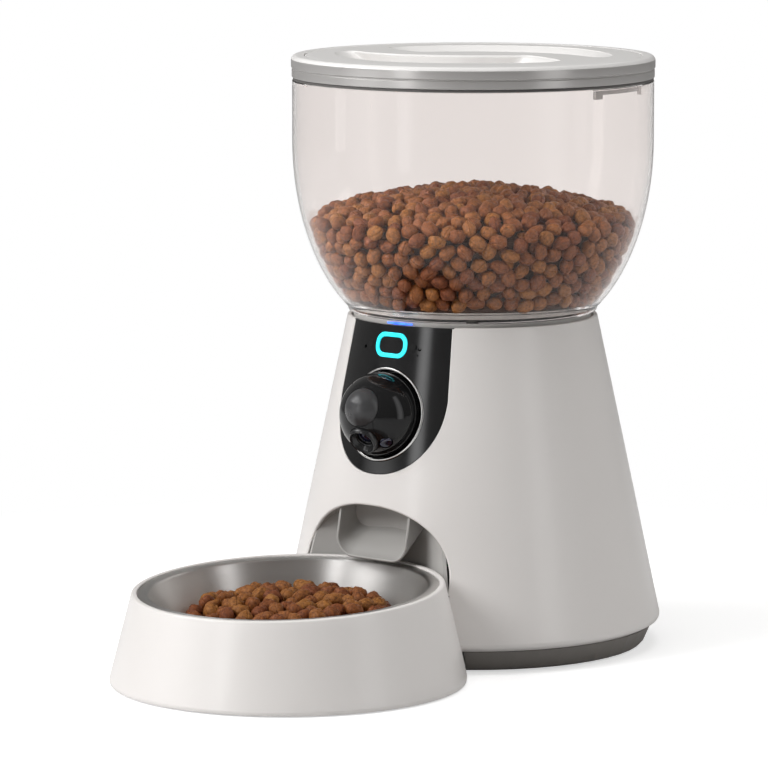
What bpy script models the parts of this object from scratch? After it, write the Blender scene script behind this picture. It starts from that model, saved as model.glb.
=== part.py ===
"""Table-top pet feeder: a conical tower with a clear hopper, a ball camera and a docking food bowl.

All lengths are metres and all angles are degrees. Z is up and the bowl side of the feeder faces -Y.
Pieces of the tower are drawn about the tower's own upright axis, and pieces of the bowl about the
bowl's axis, and each set hangs on an empty that stands on that axis.
"""
import math

import bmesh
import bpy

# Drawing values shared by all pieces
GAP = 0.0003
OVERRUN = 0.004
TURN_STEPS = 48
SMALL_TURN_STEPS = 20
HEAP_TURN_STEPS = 24
BALL_TURN_STEPS = 36
BALL_ARC_STEPS = 6
ARC_STEPS = 3
SMOOTH_ANGLE = 35.0

# Tower shell, a tapered white moulding
SHELL_TOP_R = 0.0765
SHELL_BOTTOM_R = 0.116
SHELL_TOP_Z = 0.2035
SHELL_BOTTOM_Z = 0.0135
SHELL_WALL = 0.0025
SHELL_EDGE_R = 0.005
LEDGE_REACH = 0.0045
LEDGE_HEIGHT = 0.003
COLUMN_R = 0.0045
COLUMN_INSET = 0.0178
COLUMN_HEIGHT = 0.072
COLUMN_ANGLES = (75.0, 150.0, 210.0, 285.0)

# Dark base cover with its feet and screws
BASE_CLEARANCE_Z = 0.0012
BASE_FLOOR = 0.003
BASE_FOOT_INSET = 0.0093
BASE_FOOT_CHAMFER = 0.0015
BASE_WALL = 0.0025
BASE_LIP_HEIGHT = 0.0035
FOOT_R = 0.008
FOOT_CENTRE_INSET = 0.028
FOOT_RECESS = 0.0015
FOOT_ANGLES = (60.0, 135.0, 225.0, 300.0)
SCREW_HEAD_R = 0.0032
SCREW_HEAD_HEIGHT = 0.0018
SCREW_SHANK_R = 0.0015
SCREW_LENGTH = 0.015

# Food bowl, its tilted ring holder and the distance to the tower
TOWER_TO_BOWL = 0.1735
HOLDER_BOTTOM_R = 0.1061
HOLDER_TOP_R = 0.0926
HOLDER_HEIGHT = 0.0572
HOLDER_WALL = 0.003
HOLDER_CLEARANCE_Z = 0.0008
HOLDER_EDGE_R = 0.0012
HOLDER_LIP_WIDTH = 0.0034
HOLDER_REBATE_DEPTH = 0.002
HOLDER_RING_DEPTH = 0.0037
HOLDER_FLANGE_REACH = 0.014
RIM_TILT = 2.8
TONGUE_HALF_WIDTH = 0.015
TONGUE_REACH = 0.012
TONGUE_HEIGHT = 0.0024
PAD_R = 0.005
PAD_INSET = 0.0086
PAD_RECESS = 0.0012
PAD_ANGLES = (0.0, 120.0, 240.0)
BOWL_STEEL = 0.0008
BOWL_FLANGE_WIDTH = 0.0055
BOWL_DEPTH = 0.042
BOWL_FLOOR_R = 0.052
BOWL_WALL_DRAFT = 0.007
BOWL_CORNER_R = 0.022
HEAP_PEAK_DROP = 0.0065
HEAP_EDGE_DROP = 0.0215
HEAP_GAP = 0.0005

# Arched niche in the tower where the bowl docks
NICHE_GAP = 0.0015
NICHE_BEHIND_RIM = 0.004
LINER_WALL = 0.002
ARCH_HALF_WIDTH = 0.056
ARCH_SPRING_Z = 0.050
ARCH_TOP_Z = 0.0963
ARCH_ROUNDNESS = 2.2
ARCH_STEPS = 16

# Food chute from the hopper outlet to the bowl
CHUTE_HALF_WIDTH = 0.0277
CHUTE_WALL = 0.0018
CHUTE_MOUTH_REACH = 0.0963
CHUTE_MOUTH_Z = 0.0626
CHUTE_MOUTH_HEIGHT = 0.0385
CHUTE_SLOPE = 38.0
CHUTE_RUN = 0.0303
CHUTE_FLOOR_ROUND = 0.0125
CHUTE_ROOF_ROUND = 0.004
CHUTE_BEND_REACH = 0.043
CHUTE_BEND_Z = 0.128
CHUTE_DROP_Z = 0.152
CHUTE_DROP_REACH = 0.0345
CHUTE_DROP_DEPTH = 0.035

# Black front panel with its button and light ring
FASCIA_TOP_HALF_WIDTH = 0.0375
FASCIA_HALF_WIDTH = 0.041
FASCIA_SPRING_Z = 0.160
FASCIA_BOTTOM_Z = 0.1153
FASCIA_INSET = 0.0004
FASCIA_THICKNESS = 0.0021
FASCIA_ROUNDNESS = 2.2
BUTTON_Z = 0.1916
RING_WIDTH = 0.0237
RING_HEIGHT = 0.0151
RING_BAND = 0.0025
RING_CORNER_R = 0.0066
RING_INSET = 0.0002
RING_THICKNESS = 0.0024
BUTTON_INSET = 0.0007
BUTTON_TRAVEL = 0.0008
BUTTON_STEM_R = 0.0015
BOARD_DEPTH = 0.0095
BOARD_HALF_WIDTH = 0.020
BOARD_HALF_HEIGHT = 0.0058
BOARD_THICKNESS = 0.0016
BOARD_POST_R = 0.0022
BOARD_POST_X = 0.0165
SWITCH_HALF_WIDTH = 0.003
SWITCH_HEIGHT = 0.0032

# Ball camera on its fixed neck
BALL_R = 0.0255
BALL_WALL = 0.002
CAMERA_SINK = 0.00054
CAMERA_Z = 0.1504
CAMERA_RING_GAP = 0.0012
CAMERA_RING_WIDTH = 0.0018
CAMERA_RING_PROUD = 0.0003
SOCKET_GAP = 0.0013
SOCKET_WALL = 0.002
SOCKET_LIP_BACK = 0.0068
NECK_R = 0.003
NECK_PIN_R = 0.0022
NECK_PIN_HALF_HEIGHT = 0.0085
BACK_OPENING_ANGLE = 48.0
BLOCK_HALF_WIDTH = 0.0085
BLOCK_HALF_HEIGHT = 0.009
BLOCK_FRONT = 0.008
BLOCK_BACK = 0.003
BLOCK_WALL = 0.002
PIN_CLEARANCE = 0.0001
TRUNNION_R = 0.0025
TRUNNION_GAP = 0.0007
FACE_AZIMUTH = 8.0
PIR_ELEVATION = 17.0
PIR_R = 0.0110
PIR_PROUD = 0.0026
PIR_WALL = 0.0012
PIR_SKIRT = 0.0012
LENS_ELEVATION = -33.5
LENS_R = 0.0080
LENS_PROUD = 0.0010
LENS_DEPTH = 0.0080
LENS_LIP = 0.0018
LENS_STEP = 0.0016
GLASS_R = 0.0047
GLASS_THICKNESS = 0.0014
IR_AZIMUTH = 49.0
IR_ELEVATION = -35.0
IR_R = 0.0038
IR_THICKNESS = 0.0018

# Clear hopper with its floor and contents
TANK_R = 0.1103
TANK_WALL = 0.0022
TANK_TOP_Z = 0.3469
TANK_BOTTOM_Z = 0.206
TANK_SHOULDER_Z = 0.310
TANK_CURVE_SHARE = 0.86
TANK_FOOT_HEIGHT = 0.0025
TANK_FLANGE_REACH = 0.012
TANK_CURVE_STEPS = 8
CATCH_REACH = 0.0024
CATCH_HEIGHT = 0.0022
CATCH_BELOW_RIM = 0.0013
CATCH_START = 81.0
CATCH_SWEEP = 23.5
CATCH_STUB_SWEEP = 3.0
CATCH_STUB_DROP = 0.0026
FLOOR_THICKNESS = 0.003
KIBBLE_PEAK_Z = 0.282
KIBBLE_EDGE_Z = 0.265
KIBBLE_GAP = 0.0006

# Deck, gear train and feeding rotor
DECK_Z = 0.1985
DECK_THICKNESS = 0.003
DECK_SEAT_WIDTH = 0.0035
SHAFT_R = 0.0038
SHAFT_HOLE_GAP = 0.0012
OUTLET_HALF_WIDTH = 0.020
OUTLET_FRONT = 0.0500
OUTLET_BACK = 0.0200
GEAR_MODULE = 0.001
GEAR_TEETH = 24
PINION_TEETH = 10
TOOTH_ADDENDUM_SHARE = 0.8
TOOTH_DEDENDUM_SHARE = 1.0
TOOTH_FILL_SHARE = 0.74
TOOTH_TIP_SHARE = 0.5
GEAR_THICKNESS = 0.006
GEAR_BOTTOM_Z = 0.1876
DOG_R = 0.0046
DOG_HEIGHT = 0.009
ROTOR_R = 0.052
ROTOR_HUB_R = 0.013
ROTOR_HEIGHT = 0.016
ROTOR_VANES = 6
ROTOR_VANE_WIDTH = 0.003
HOUSING_HALF_WIDTH = 0.0165
HOUSING_WALL = 0.0016
HOUSING_FLOOR = 0.0024
MOTOR_R = 0.012
MOTOR_LENGTH = 0.040
MOTOR_SHAFT_R = 0.0011

# Lid with its seal and two finger wells
LID_OVERHANG = 0.0007
LID_SIDE_HEIGHT = 0.008
LID_SHOULDER_R = 0.0052
LID_LIP_WIDTH = 0.008
LID_GROOVE_GAP = 0.0004
LID_PANEL_THICKNESS = 0.0022
LID_LEDGE_REACH = 0.0035
LID_LEDGE_THICKNESS = 0.0022
LID_PLUG_WALL = 0.0026
LID_PLUG_GAP = 0.0007
LID_PLUG_DEPTH = 0.0022
LID_CROWN = 0.0006
SEAL_HEIGHT = 0.0014
LUG_SWEEP = 10.0
LUG_DROP = 0.006
LUG_START = 108.0
WELL_EDGE_SHARES = ((0.767, 0.252), (0.612, 0.49), (0.34, 0.714), (0, 0.772), (-0.311, 0.704),
                    (-0.524, 0.568), (-0.621, 0.461), (-0.636, 0.33), (-0.495, 0.165), (-0.35, 0.049),
                    (-0.194, 0.107), (0.049, 0.189), (0.388, 0.199), (0.602, 0.107), (0.767, -0.01),
                    (0.816, 0.078))
WELL_ROOT_SHARES = (0.049, 0.189)
WELL_FLOOR_SHARE = 0.72
WELL_DEPTH = 0.0125
WELL_WALL = 0.002
WELL_CLEAR_SHARE = 0.845
WELL_EDGE_STEPS = 2
BAR_ANGLE = 20.0

# Inner electrics and power inlet
CELL_R = 0.0163
CELL_LENGTH = 0.060
CELL_PITCH = 0.0345
CELLS = 3
BAY_CENTRE_Y = 0.040
BAY_CLEARANCE = 0.0015
BAY_WALL = 0.0018
DOOR_INSET = 0.0003
DOOR_THICKNESS = 0.0024
MAIN_BOARD_HALF_WIDTH = 0.045
MAIN_BOARD_HALF_DEPTH = 0.028
CHIP_HALF_WIDTH = 0.006
CHIP_HEIGHT = 0.0016
SPEAKER_R = 0.018
SPEAKER_HEIGHT = 0.010
SPEAKER_X = -0.070
SPEAKER_Y = -0.033
SPEAKER_HOLE_R = 0.0016
SPEAKER_HOLE_RING_R = 0.008
SPEAKER_HOLES = 6
JACK_Z = 0.030
JACK_R = 0.0055
JACK_FLANGE_R = 0.008
JACK_FLANGE = 0.002
JACK_LENGTH = 0.013
JACK_BORE_R = 0.0032
JACK_BORE_DEPTH = 0.009
JACK_PIN_R = 0.0008
JACK_PIN_SHORT = 0.0015

# Places worked out from the sizes above
TOWER_Y = (TOWER_TO_BOWL + HOLDER_BOTTOM_R - SHELL_BOTTOM_R) / 2
BOWL_Y = TOWER_Y - TOWER_TO_BOWL
COLUMN_CENTRE_R = SHELL_BOTTOM_R - COLUMN_INSET
PAD_CENTRE_R = HOLDER_BOTTOM_R - PAD_INSET
BASE_FOOT_R = SHELL_BOTTOM_R - BASE_FOOT_INSET
FOOT_CENTRE_R = SHELL_BOTTOM_R - FOOT_CENTRE_INSET
BASE_FLOOR_TOP = BASE_CLEARANCE_Z + BASE_FLOOR
DECK_TOP = DECK_Z + DECK_THICKNESS
TANK_FLOOR_Z = TANK_BOTTOM_Z + TANK_FOOT_HEIGHT
FLOOR_Z = TANK_FLOOR_Z + GAP
FLOOR_TOP = FLOOR_Z + FLOOR_THICKNESS
ROTOR_Z = FLOOR_TOP + GAP
ROTOR_TOP = ROTOR_Z + ROTOR_HEIGHT
SEAL_Z = TANK_TOP_Z + GAP
LID_Z = SEAL_Z + SEAL_HEIGHT + GAP
LID_TOP_Z = LID_Z + LID_SIDE_HEIGHT + LID_SHOULDER_R
LID_R = TANK_R + LID_OVERHANG
LID_GROOVE_R = LID_R - LID_LIP_WIDTH
WELL_CLEAR_R = LID_GROOVE_R * WELL_CLEAR_SHARE
HOLDER_TILT_RISE = math.tan(math.radians(RIM_TILT))
CHUTE_RISE = math.tan(math.radians(CHUTE_SLOPE))


def material(name, colour, roughness, metallic=0.0, alpha=1.0):
    """Make a plain Principled material."""
    made = bpy.data.materials.new(name)
    made.use_nodes = True
    shader = made.node_tree.nodes["Principled BSDF"]
    shader.inputs["Base Color"].default_value = (*colour, 1.0)
    shader.inputs["Roughness"].default_value = roughness
    shader.inputs["Metallic"].default_value = metallic
    shader.inputs["Alpha"].default_value = alpha
    made.diffuse_color = (*colour, alpha)
    return made


def axis_empty(name, location, parent=None):
    """Stand an empty on an axis, for the pieces that share it."""
    empty = bpy.data.objects.new(name, None)
    empty.location = location
    empty.parent = parent
    bpy.context.scene.collection.objects.link(empty)
    return empty


def make(name, shape, look, parent, location=(0, 0, 0), rotation=(0, 0, 0)):
    """Turn a bmesh into a named, smooth-shaded object on its parent's axis."""
    mesh = bpy.data.meshes.new(name)
    shape.to_mesh(mesh)
    shape.free()
    mesh.shade_smooth()
    mesh.set_sharp_from_angle(angle=math.radians(SMOOTH_ANGLE))
    piece = bpy.data.objects.new(name, mesh)
    piece.parent = parent
    piece.location = location
    piece.rotation_euler = [math.radians(angle) for angle in rotation]
    if look:
        mesh.materials.append(look)
    bpy.context.scene.collection.objects.link(piece)
    return piece


def tool(name, shape, parent, location=(0, 0, 0), rotation=(0, 0, 0)):
    """Make a hidden body that only cuts or joins others."""
    body = make(name + "_tool", shape, None, parent, location, rotation)
    body.hide_render = True
    body.display_type = "WIRE"
    return body


def combine(piece, body, operation):
    """Add an exact Boolean of body to piece."""
    change = piece.modifiers.new(body.name, "BOOLEAN")
    change.operation = operation
    change.solver = "EXACT"
    change.object = body


def cut(piece, body):
    """Take body away from piece."""
    combine(piece, body, "DIFFERENCE")


def join(piece, body):
    """Grow piece by body."""
    combine(piece, body, "UNION")


def keep_inside(piece, body):
    """Keep only what of piece lies inside body."""
    combine(piece, body, "INTERSECT")


def loft(rings, closed=False):
    """Skin equal rings of points, and cap the ends unless the last ring joins the first."""
    shape = bmesh.new()
    rows = [[shape.verts.new(point) for point in ring] for ring in rings]
    pairs = list(zip(rows, rows[1:]))
    if closed:
        pairs.append((rows[-1], rows[0]))
    for lower, upper in pairs:
        if len(lower) == 1 and len(upper) == 1:
            continue
        steps = max(len(lower), len(upper))
        for step in range(steps):
            following = (step + 1) % steps
            corners = [lower[step % len(lower)], lower[following % len(lower)]]
            corners += [upper[following % len(upper)], upper[step % len(upper)]]
            shape.faces.new(list(dict.fromkeys(corners)))
    if not closed:
        for row in (rows[0], rows[-1]):
            if len(row) > 1:
                shape.faces.new(row)
    bmesh.ops.recalc_face_normals(shape, faces=shape.faces)
    return shape


def turned(profile, steps=TURN_STEPS, lean=None):
    """Turn a closed outline of (radius, height) points about Z. lean(y, z) may shift each height."""
    rings = []
    for radius, height in profile:
        count = steps if radius > 0 else 1
        ring = []
        for step in range(count):
            angle = 2 * math.pi * step / steps
            x = radius * math.cos(angle)
            y = radius * math.sin(angle)
            ring.append((x, y, height + (lean(y, height) if lean else 0)))
        rings.append(ring)
    return loft(rings, closed=True)


def prism(outline, low, high):
    """Raise a flat outline of (x, y) points from low to high."""
    return loft([[(x, y, z) for x, y in outline] for z in (low, high)])


def disc(radius, low, high, steps=SMALL_TURN_STEPS):
    """A plain round body about Z."""
    return turned([(0, low), (radius, low), (radius, high), (0, high)], steps)


def block(x_low, x_high, y_low, y_high, low, high):
    """A plain rectangular body."""
    return prism([(x_low, y_low), (x_high, y_low), (x_high, y_high), (x_low, y_high)], low, high)


def arc(centre_r, centre_z, radius, start, end, steps=ARC_STEPS):
    """Points of a circular arc between two angles."""
    points = []
    for step in range(steps + 1):
        angle = math.radians(start + (end - start) * step / steps)
        points.append((centre_r + radius * math.cos(angle), centre_z + radius * math.sin(angle)))
    return points


def rounded_rectangle(half_width, half_height, low_round, high_round=None, steps=ARC_STEPS):
    """Outline of a rectangle whose lower and upper corners may be rounded differently."""
    high_round = low_round if high_round is None else high_round
    points = arc(half_width - low_round, low_round - half_height, low_round, -90, 0, steps)
    points += arc(half_width - high_round, half_height - high_round, high_round, 0, 90, steps)
    points += arc(high_round - half_width, half_height - high_round, high_round, 90, 180, steps)
    points += arc(low_round - half_width, low_round - half_height, low_round, 180, 270, steps)
    return points


def offset_outwards(points, distance):
    """Shift an open run of (radius, height) points sideways by a wall thickness."""
    moved = []
    for index, point in enumerate(points):
        before = points[max(index - 1, 0)]
        after = points[min(index + 1, len(points) - 1)]
        run_r = after[0] - before[0]
        run_z = after[1] - before[1]
        length = math.hypot(run_r, run_z)
        moved.append((point[0] + distance * run_z / length, point[1] - distance * run_r / length))
    return moved


def on_circle(radius, angle):
    """Place on a circle, with the angle counted from the front (-Y) towards +X."""
    turn = math.radians(angle)
    return radius * math.sin(turn), -radius * math.cos(turn)


def cone_r(height, inset=0):
    """Radius of the tower's outer face, or of a face that lies inset from it."""
    share = (SHELL_TOP_Z - height) / (SHELL_TOP_Z - SHELL_BOTTOM_Z - SHELL_EDGE_R)
    return SHELL_TOP_R + (SHELL_BOTTOM_R - SHELL_TOP_R) * share - inset


def cone_lean():
    """Angle by which the tower's wall leans in, in degrees."""
    rise = SHELL_TOP_Z - SHELL_BOTTOM_Z - SHELL_EDGE_R
    return math.degrees(math.atan2(SHELL_BOTTOM_R - SHELL_TOP_R, rise))


def cone_skin(inset, thickness):
    """A conical sheet that follows the tower's wall, for the pieces set into it."""
    low = ARCH_TOP_Z
    high = SHELL_TOP_Z - GAP
    profile = [(cone_r(low, inset), low), (cone_r(high, inset), high)]
    profile += [(cone_r(high, inset + thickness), high), (cone_r(low, inset + thickness), low)]
    return turned(profile)


def arch_outline(half_width, spring_z, end_z, roundness, foot_half_width, foot_z):
    """Round-ended outline in the XZ plane. It ends at end_z, and its legs reach foot_z."""
    points = [(foot_half_width, foot_z)]
    for step in range(ARCH_STEPS + 1):
        angle = math.pi * step / ARCH_STEPS
        across = math.copysign(abs(math.cos(angle)) ** (2 / roundness), math.cos(angle))
        points.append((half_width * across, spring_z + (end_z - spring_z) * math.sin(angle) ** (2 / roundness)))
    points.append((-foot_half_width, foot_z))
    return points


def through_front(outline, back):
    """Run an outline of the XZ plane from in front of the tower back to y = -back."""
    front = SHELL_BOTTOM_R + OVERRUN
    return loft([[(x, -reach, z) for x, z in outline] for reach in (front, back)])


def holder_r(height):
    """Radius of the bowl holder's outer face."""
    return HOLDER_BOTTOM_R + (HOLDER_TOP_R - HOLDER_BOTTOM_R) * height / HOLDER_HEIGHT


def rim_lean(y, z):
    """The holder's top leans down towards the front, and its foot stays level."""
    return y * HOLDER_TILT_RISE * z / HOLDER_HEIGHT


def holder_cone(name, grow, low, high):
    """A cone that follows the holder's wall at a distance, for the niche behind it."""
    profile = [(0, low), (holder_r(low) + grow, low), (holder_r(high) + grow, high), (0, high)]
    return tool(name, turned(profile), bowl_axis)


def niche_body(name, grow, low):
    """The space of the docking niche, or with grow the outside of its liner."""
    outline = arch_outline(ARCH_HALF_WIDTH + grow, ARCH_SPRING_Z, ARCH_TOP_Z + grow, ARCH_ROUNDNESS,
                           ARCH_HALF_WIDTH + grow, ARCH_SPRING_Z - BASE_FLOOR)
    vault = tool(name + "_vault", through_front(outline, SHELL_TOP_R - HOLDER_RING_DEPTH * 5), tower_axis)
    back_r = HOLDER_TOP_R + NICHE_BEHIND_RIM + grow
    keep_inside(vault, tool(name + "_back", disc(back_r, 0, ARCH_TOP_Z * 2, TURN_STEPS), bowl_axis))
    high = HOLDER_HEIGHT + NICHE_BEHIND_RIM + grow
    join(vault, holder_cone(name + "_cone", NICHE_GAP + grow, low, high))
    return vault


def tower_filling(name, inset):
    """The tower's inside as a solid, to trim what must stay behind its wall."""
    low = -OVERRUN
    foot_r = SHELL_BOTTOM_R - SHELL_EDGE_R - GAP
    profile = [(0, low), (foot_r, low), (foot_r, SHELL_BOTTOM_Z + SHELL_WALL)]
    profile.append((SHELL_BOTTOM_R - inset, SHELL_BOTTOM_Z + SHELL_EDGE_R))
    profile += [(cone_r(SHELL_TOP_Z, inset), SHELL_TOP_Z), (0, SHELL_TOP_Z)]
    return tool(name, turned(profile), tower_axis)


def front_normal(height):
    """Place and turn of a piece whose +Z looks out of the tower's front wall."""
    return (0, -cone_r(height), height), (90 - cone_lean(), 0, 0)


def looking(azimuth, elevation):
    """Turn of a camera piece whose +Z looks towards an azimuth and elevation from its ball's centre."""
    return (90 - elevation, 0, azimuth)


def gear_outline(teeth, phase):
    """Tooth outline about Z. phase is the angle of the first tooth, in degrees."""
    pitch_r = GEAR_MODULE * teeth / 2
    tip_r = pitch_r + GEAR_MODULE * TOOTH_ADDENDUM_SHARE
    root_r = pitch_r - GEAR_MODULE * TOOTH_DEDENDUM_SHARE
    half_tooth = math.pi / (2 * teeth) * TOOTH_FILL_SHARE
    points = []
    for tooth in range(teeth):
        middle = math.radians(phase) + 2 * math.pi * tooth / teeth
        for radius, offset in ((root_r, -half_tooth * (2 - TOOTH_TIP_SHARE)), (tip_r, -half_tooth * TOOTH_TIP_SHARE),
                               (tip_r, half_tooth * TOOTH_TIP_SHARE), (root_r, half_tooth * (2 - TOOTH_TIP_SHARE))):
            points.append((radius * math.cos(middle + offset), radius * math.sin(middle + offset)))
    return points


def well_rings(grow, high, low):
    """Sections of a finger well: its smooth edge on top, drawn in towards the grip bar at its floor."""
    edge = []
    corners_of_edge = [[share * LID_GROOVE_R for share in point] for point in WELL_EDGE_SHARES]
    count = len(corners_of_edge)
    middle = [share * LID_GROOVE_R for share in WELL_ROOT_SHARES]
    for index in range(count):
        corners = [corners_of_edge[(index + offset) % count] for offset in (-1, 0, 1, 2)]
        for step in range(WELL_EDGE_STEPS):
            edge.append([spline(*values, step / WELL_EDGE_STEPS) for values in zip(*corners)])
    moved = offset_outwards(edge + edge[:2], grow)[1:-1]
    floor = [[root + (value - root) * WELL_FLOOR_SHARE for value, root in zip(point, middle)] for point in moved]
    return [[(x, y, low) for x, y in floor], [(x, y, high) for x, y in moved]]


def spline(before, start, end, after, share):
    """A point on the smooth curve between start and end."""
    pull = (end - before) * share + (2 * before - 5 * start + 4 * end - after) * share ** 2
    return start + (pull + (3 * start - before - 3 * end + after) * share ** 3) / 2


def arc_block(inner, outer, start, sweep, low, high, steps=6):
    """A curved bar between two radii, with its angles counted from the front towards +X."""
    outline = [on_circle(outer, start + sweep * step / steps) for step in range(steps + 1)]
    outline += [on_circle(inner, start + sweep * (steps - step) / steps) for step in range(steps + 1)]
    return prism(outline, low, high)


for old in list(bpy.data.objects):
    bpy.data.objects.remove(old, do_unlink=True)

white = material("warm_white_abs", (0.86, 0.85, 0.83), 0.38)
liner_grey = material("liner_white_abs", (0.78, 0.77, 0.75), 0.5)
dark = material("dark_grey_abs", (0.09, 0.088, 0.082), 0.5)
gloss_black = material("gloss_black_panel", (0.006, 0.006, 0.007), 0.08)
ball_black = material("gloss_black_ball", (0.008, 0.008, 0.009), 0.12)
pir_grey = material("smoked_dome", (0.045, 0.045, 0.047), 0.3)
lens_glass_look = material("coated_glass", (0.01, 0.012, 0.02), 0.03)
cyan = material("cyan_light_guide", (0.02, 0.80, 0.88), 0.3)
clear = material("clear_plastic", (0.93, 0.91, 0.91), 0.06, alpha=0.3)
rubber = material("black_rubber", (0.03, 0.03, 0.03), 0.8)
silicone = material("grey_silicone", (0.12, 0.115, 0.11), 0.7)
steel = material("brushed_steel", (0.62, 0.61, 0.60), 0.28, 1.0)
metal = material("zinc_plated_steel", (0.55, 0.55, 0.54), 0.35, 1.0)
food = material("kibble", (0.30, 0.135, 0.055), 0.75)
nylon = material("white_nylon", (0.70, 0.69, 0.64), 0.5)
green_board = material("circuit_board", (0.02, 0.16, 0.07), 0.45)
cell_wrap = material("cell_wrap", (0.16, 0.17, 0.19), 0.4)

tower_axis = axis_empty("tower_axis", (0, TOWER_Y, 0))
bowl_axis = axis_empty("bowl_axis", (0, BOWL_Y, 0))
camera_reach = cone_r(CAMERA_Z) - CAMERA_SINK
camera_centre = axis_empty("camera_centre", (0, -camera_reach, CAMERA_Z), tower_axis)
lid_axis = axis_empty("lid_axis", (0, 0, LID_Z), tower_axis)


def chute_rings(grow, ahead=0):
    """Sections of the chute, from its mouth over the bowl up to the hopper outlet."""
    half_height = CHUTE_MOUTH_HEIGHT / 2
    mouth_z = CHUTE_MOUTH_Z + half_height
    run_reach = CHUTE_MOUTH_REACH - CHUTE_RUN
    half_drop = CHUTE_DROP_DEPTH / 2
    bend_half = (half_height + half_drop) / 2
    sections = [(CHUTE_MOUTH_REACH + ahead, mouth_z - ahead * CHUTE_RISE, 90, half_height)]
    sections.append((run_reach, mouth_z + CHUTE_RUN * CHUTE_RISE, 90, half_height))
    sections.append((CHUTE_BEND_REACH, CHUTE_BEND_Z, 135, bend_half))
    sections.append((CHUTE_DROP_REACH, CHUTE_DROP_Z, 180, half_drop))
    sections.append((CHUTE_DROP_REACH, DECK_Z - GAP, 180, half_drop))
    rings = []
    for reach, height, lean, half in sections:
        along_y = math.cos(math.radians(lean))
        along_z = math.sin(math.radians(lean))
        outline = rounded_rectangle(CHUTE_HALF_WIDTH + grow, half + grow, CHUTE_FLOOR_ROUND + grow,
                                    CHUTE_ROOF_ROUND + grow)
        rings.append([(x, -reach + s * along_y, height + s * along_z) for x, s in outline])
    return rings


def tower_shell():
    """White tapered wall with an inner ledge for the deck and columns for the base screws."""
    edge_r = SHELL_BOTTOM_R - SHELL_EDGE_R
    edge_z = SHELL_BOTTOM_Z + SHELL_EDGE_R
    ledge_top = DECK_Z - GAP
    ledge_low = ledge_top - LEDGE_HEIGHT
    ledge_r = deck_r() - LEDGE_REACH
    profile = [(SHELL_TOP_R, SHELL_TOP_Z)] + arc(edge_r, edge_z, SHELL_EDGE_R, 0, -90)
    profile += arc(edge_r, edge_z, SHELL_EDGE_R - SHELL_WALL, -90, 0)
    chamfer_z = ledge_low - LEDGE_REACH
    profile += [(cone_r(chamfer_z, SHELL_WALL), chamfer_z), (ledge_r, ledge_low), (ledge_r, ledge_top)]
    profile += [(cone_r(ledge_top, SHELL_WALL), ledge_top), (SHELL_TOP_R - SHELL_WALL, SHELL_TOP_Z)]
    shell = make("tower_shell", turned(profile), white, tower_axis)
    for number, angle in enumerate(COLUMN_ANGLES):
        place = (*on_circle(COLUMN_CENTRE_R, angle), 0)
        low = BASE_FLOOR_TOP + GAP
        join(shell, tool(f"column_{number}", disc(COLUMN_R, low, low + COLUMN_HEIGHT), tower_axis, place))
        pilot = disc(SCREW_SHANK_R + GAP, -OVERRUN, SCREW_LENGTH + BASE_FLOOR)
        cut(shell, tool(f"pilot_{number}", pilot, tower_axis, place))
    cut(shell, niche_body("niche", 0, -OVERRUN))
    panel = arch_outline(FASCIA_HALF_WIDTH + GAP, FASCIA_SPRING_Z, FASCIA_BOTTOM_Z - GAP, FASCIA_ROUNDNESS,
                         FASCIA_TOP_HALF_WIDTH + GAP, SHELL_TOP_Z + OVERRUN)
    cut(shell, tool("panel_opening", through_front(panel, SHELL_TOP_R / 2), tower_axis))
    jack_hole = disc(JACK_R + GAP, 0, SHELL_BOTTOM_R)
    cut(shell, tool("jack_hole", jack_hole, tower_axis, (0, SHELL_TOP_R, JACK_Z), (-90, 0, 0)))


def deck_r():
    """Outer radius of the deck inside the shell's top."""
    return cone_r(DECK_TOP, SHELL_WALL + GAP)


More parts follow.
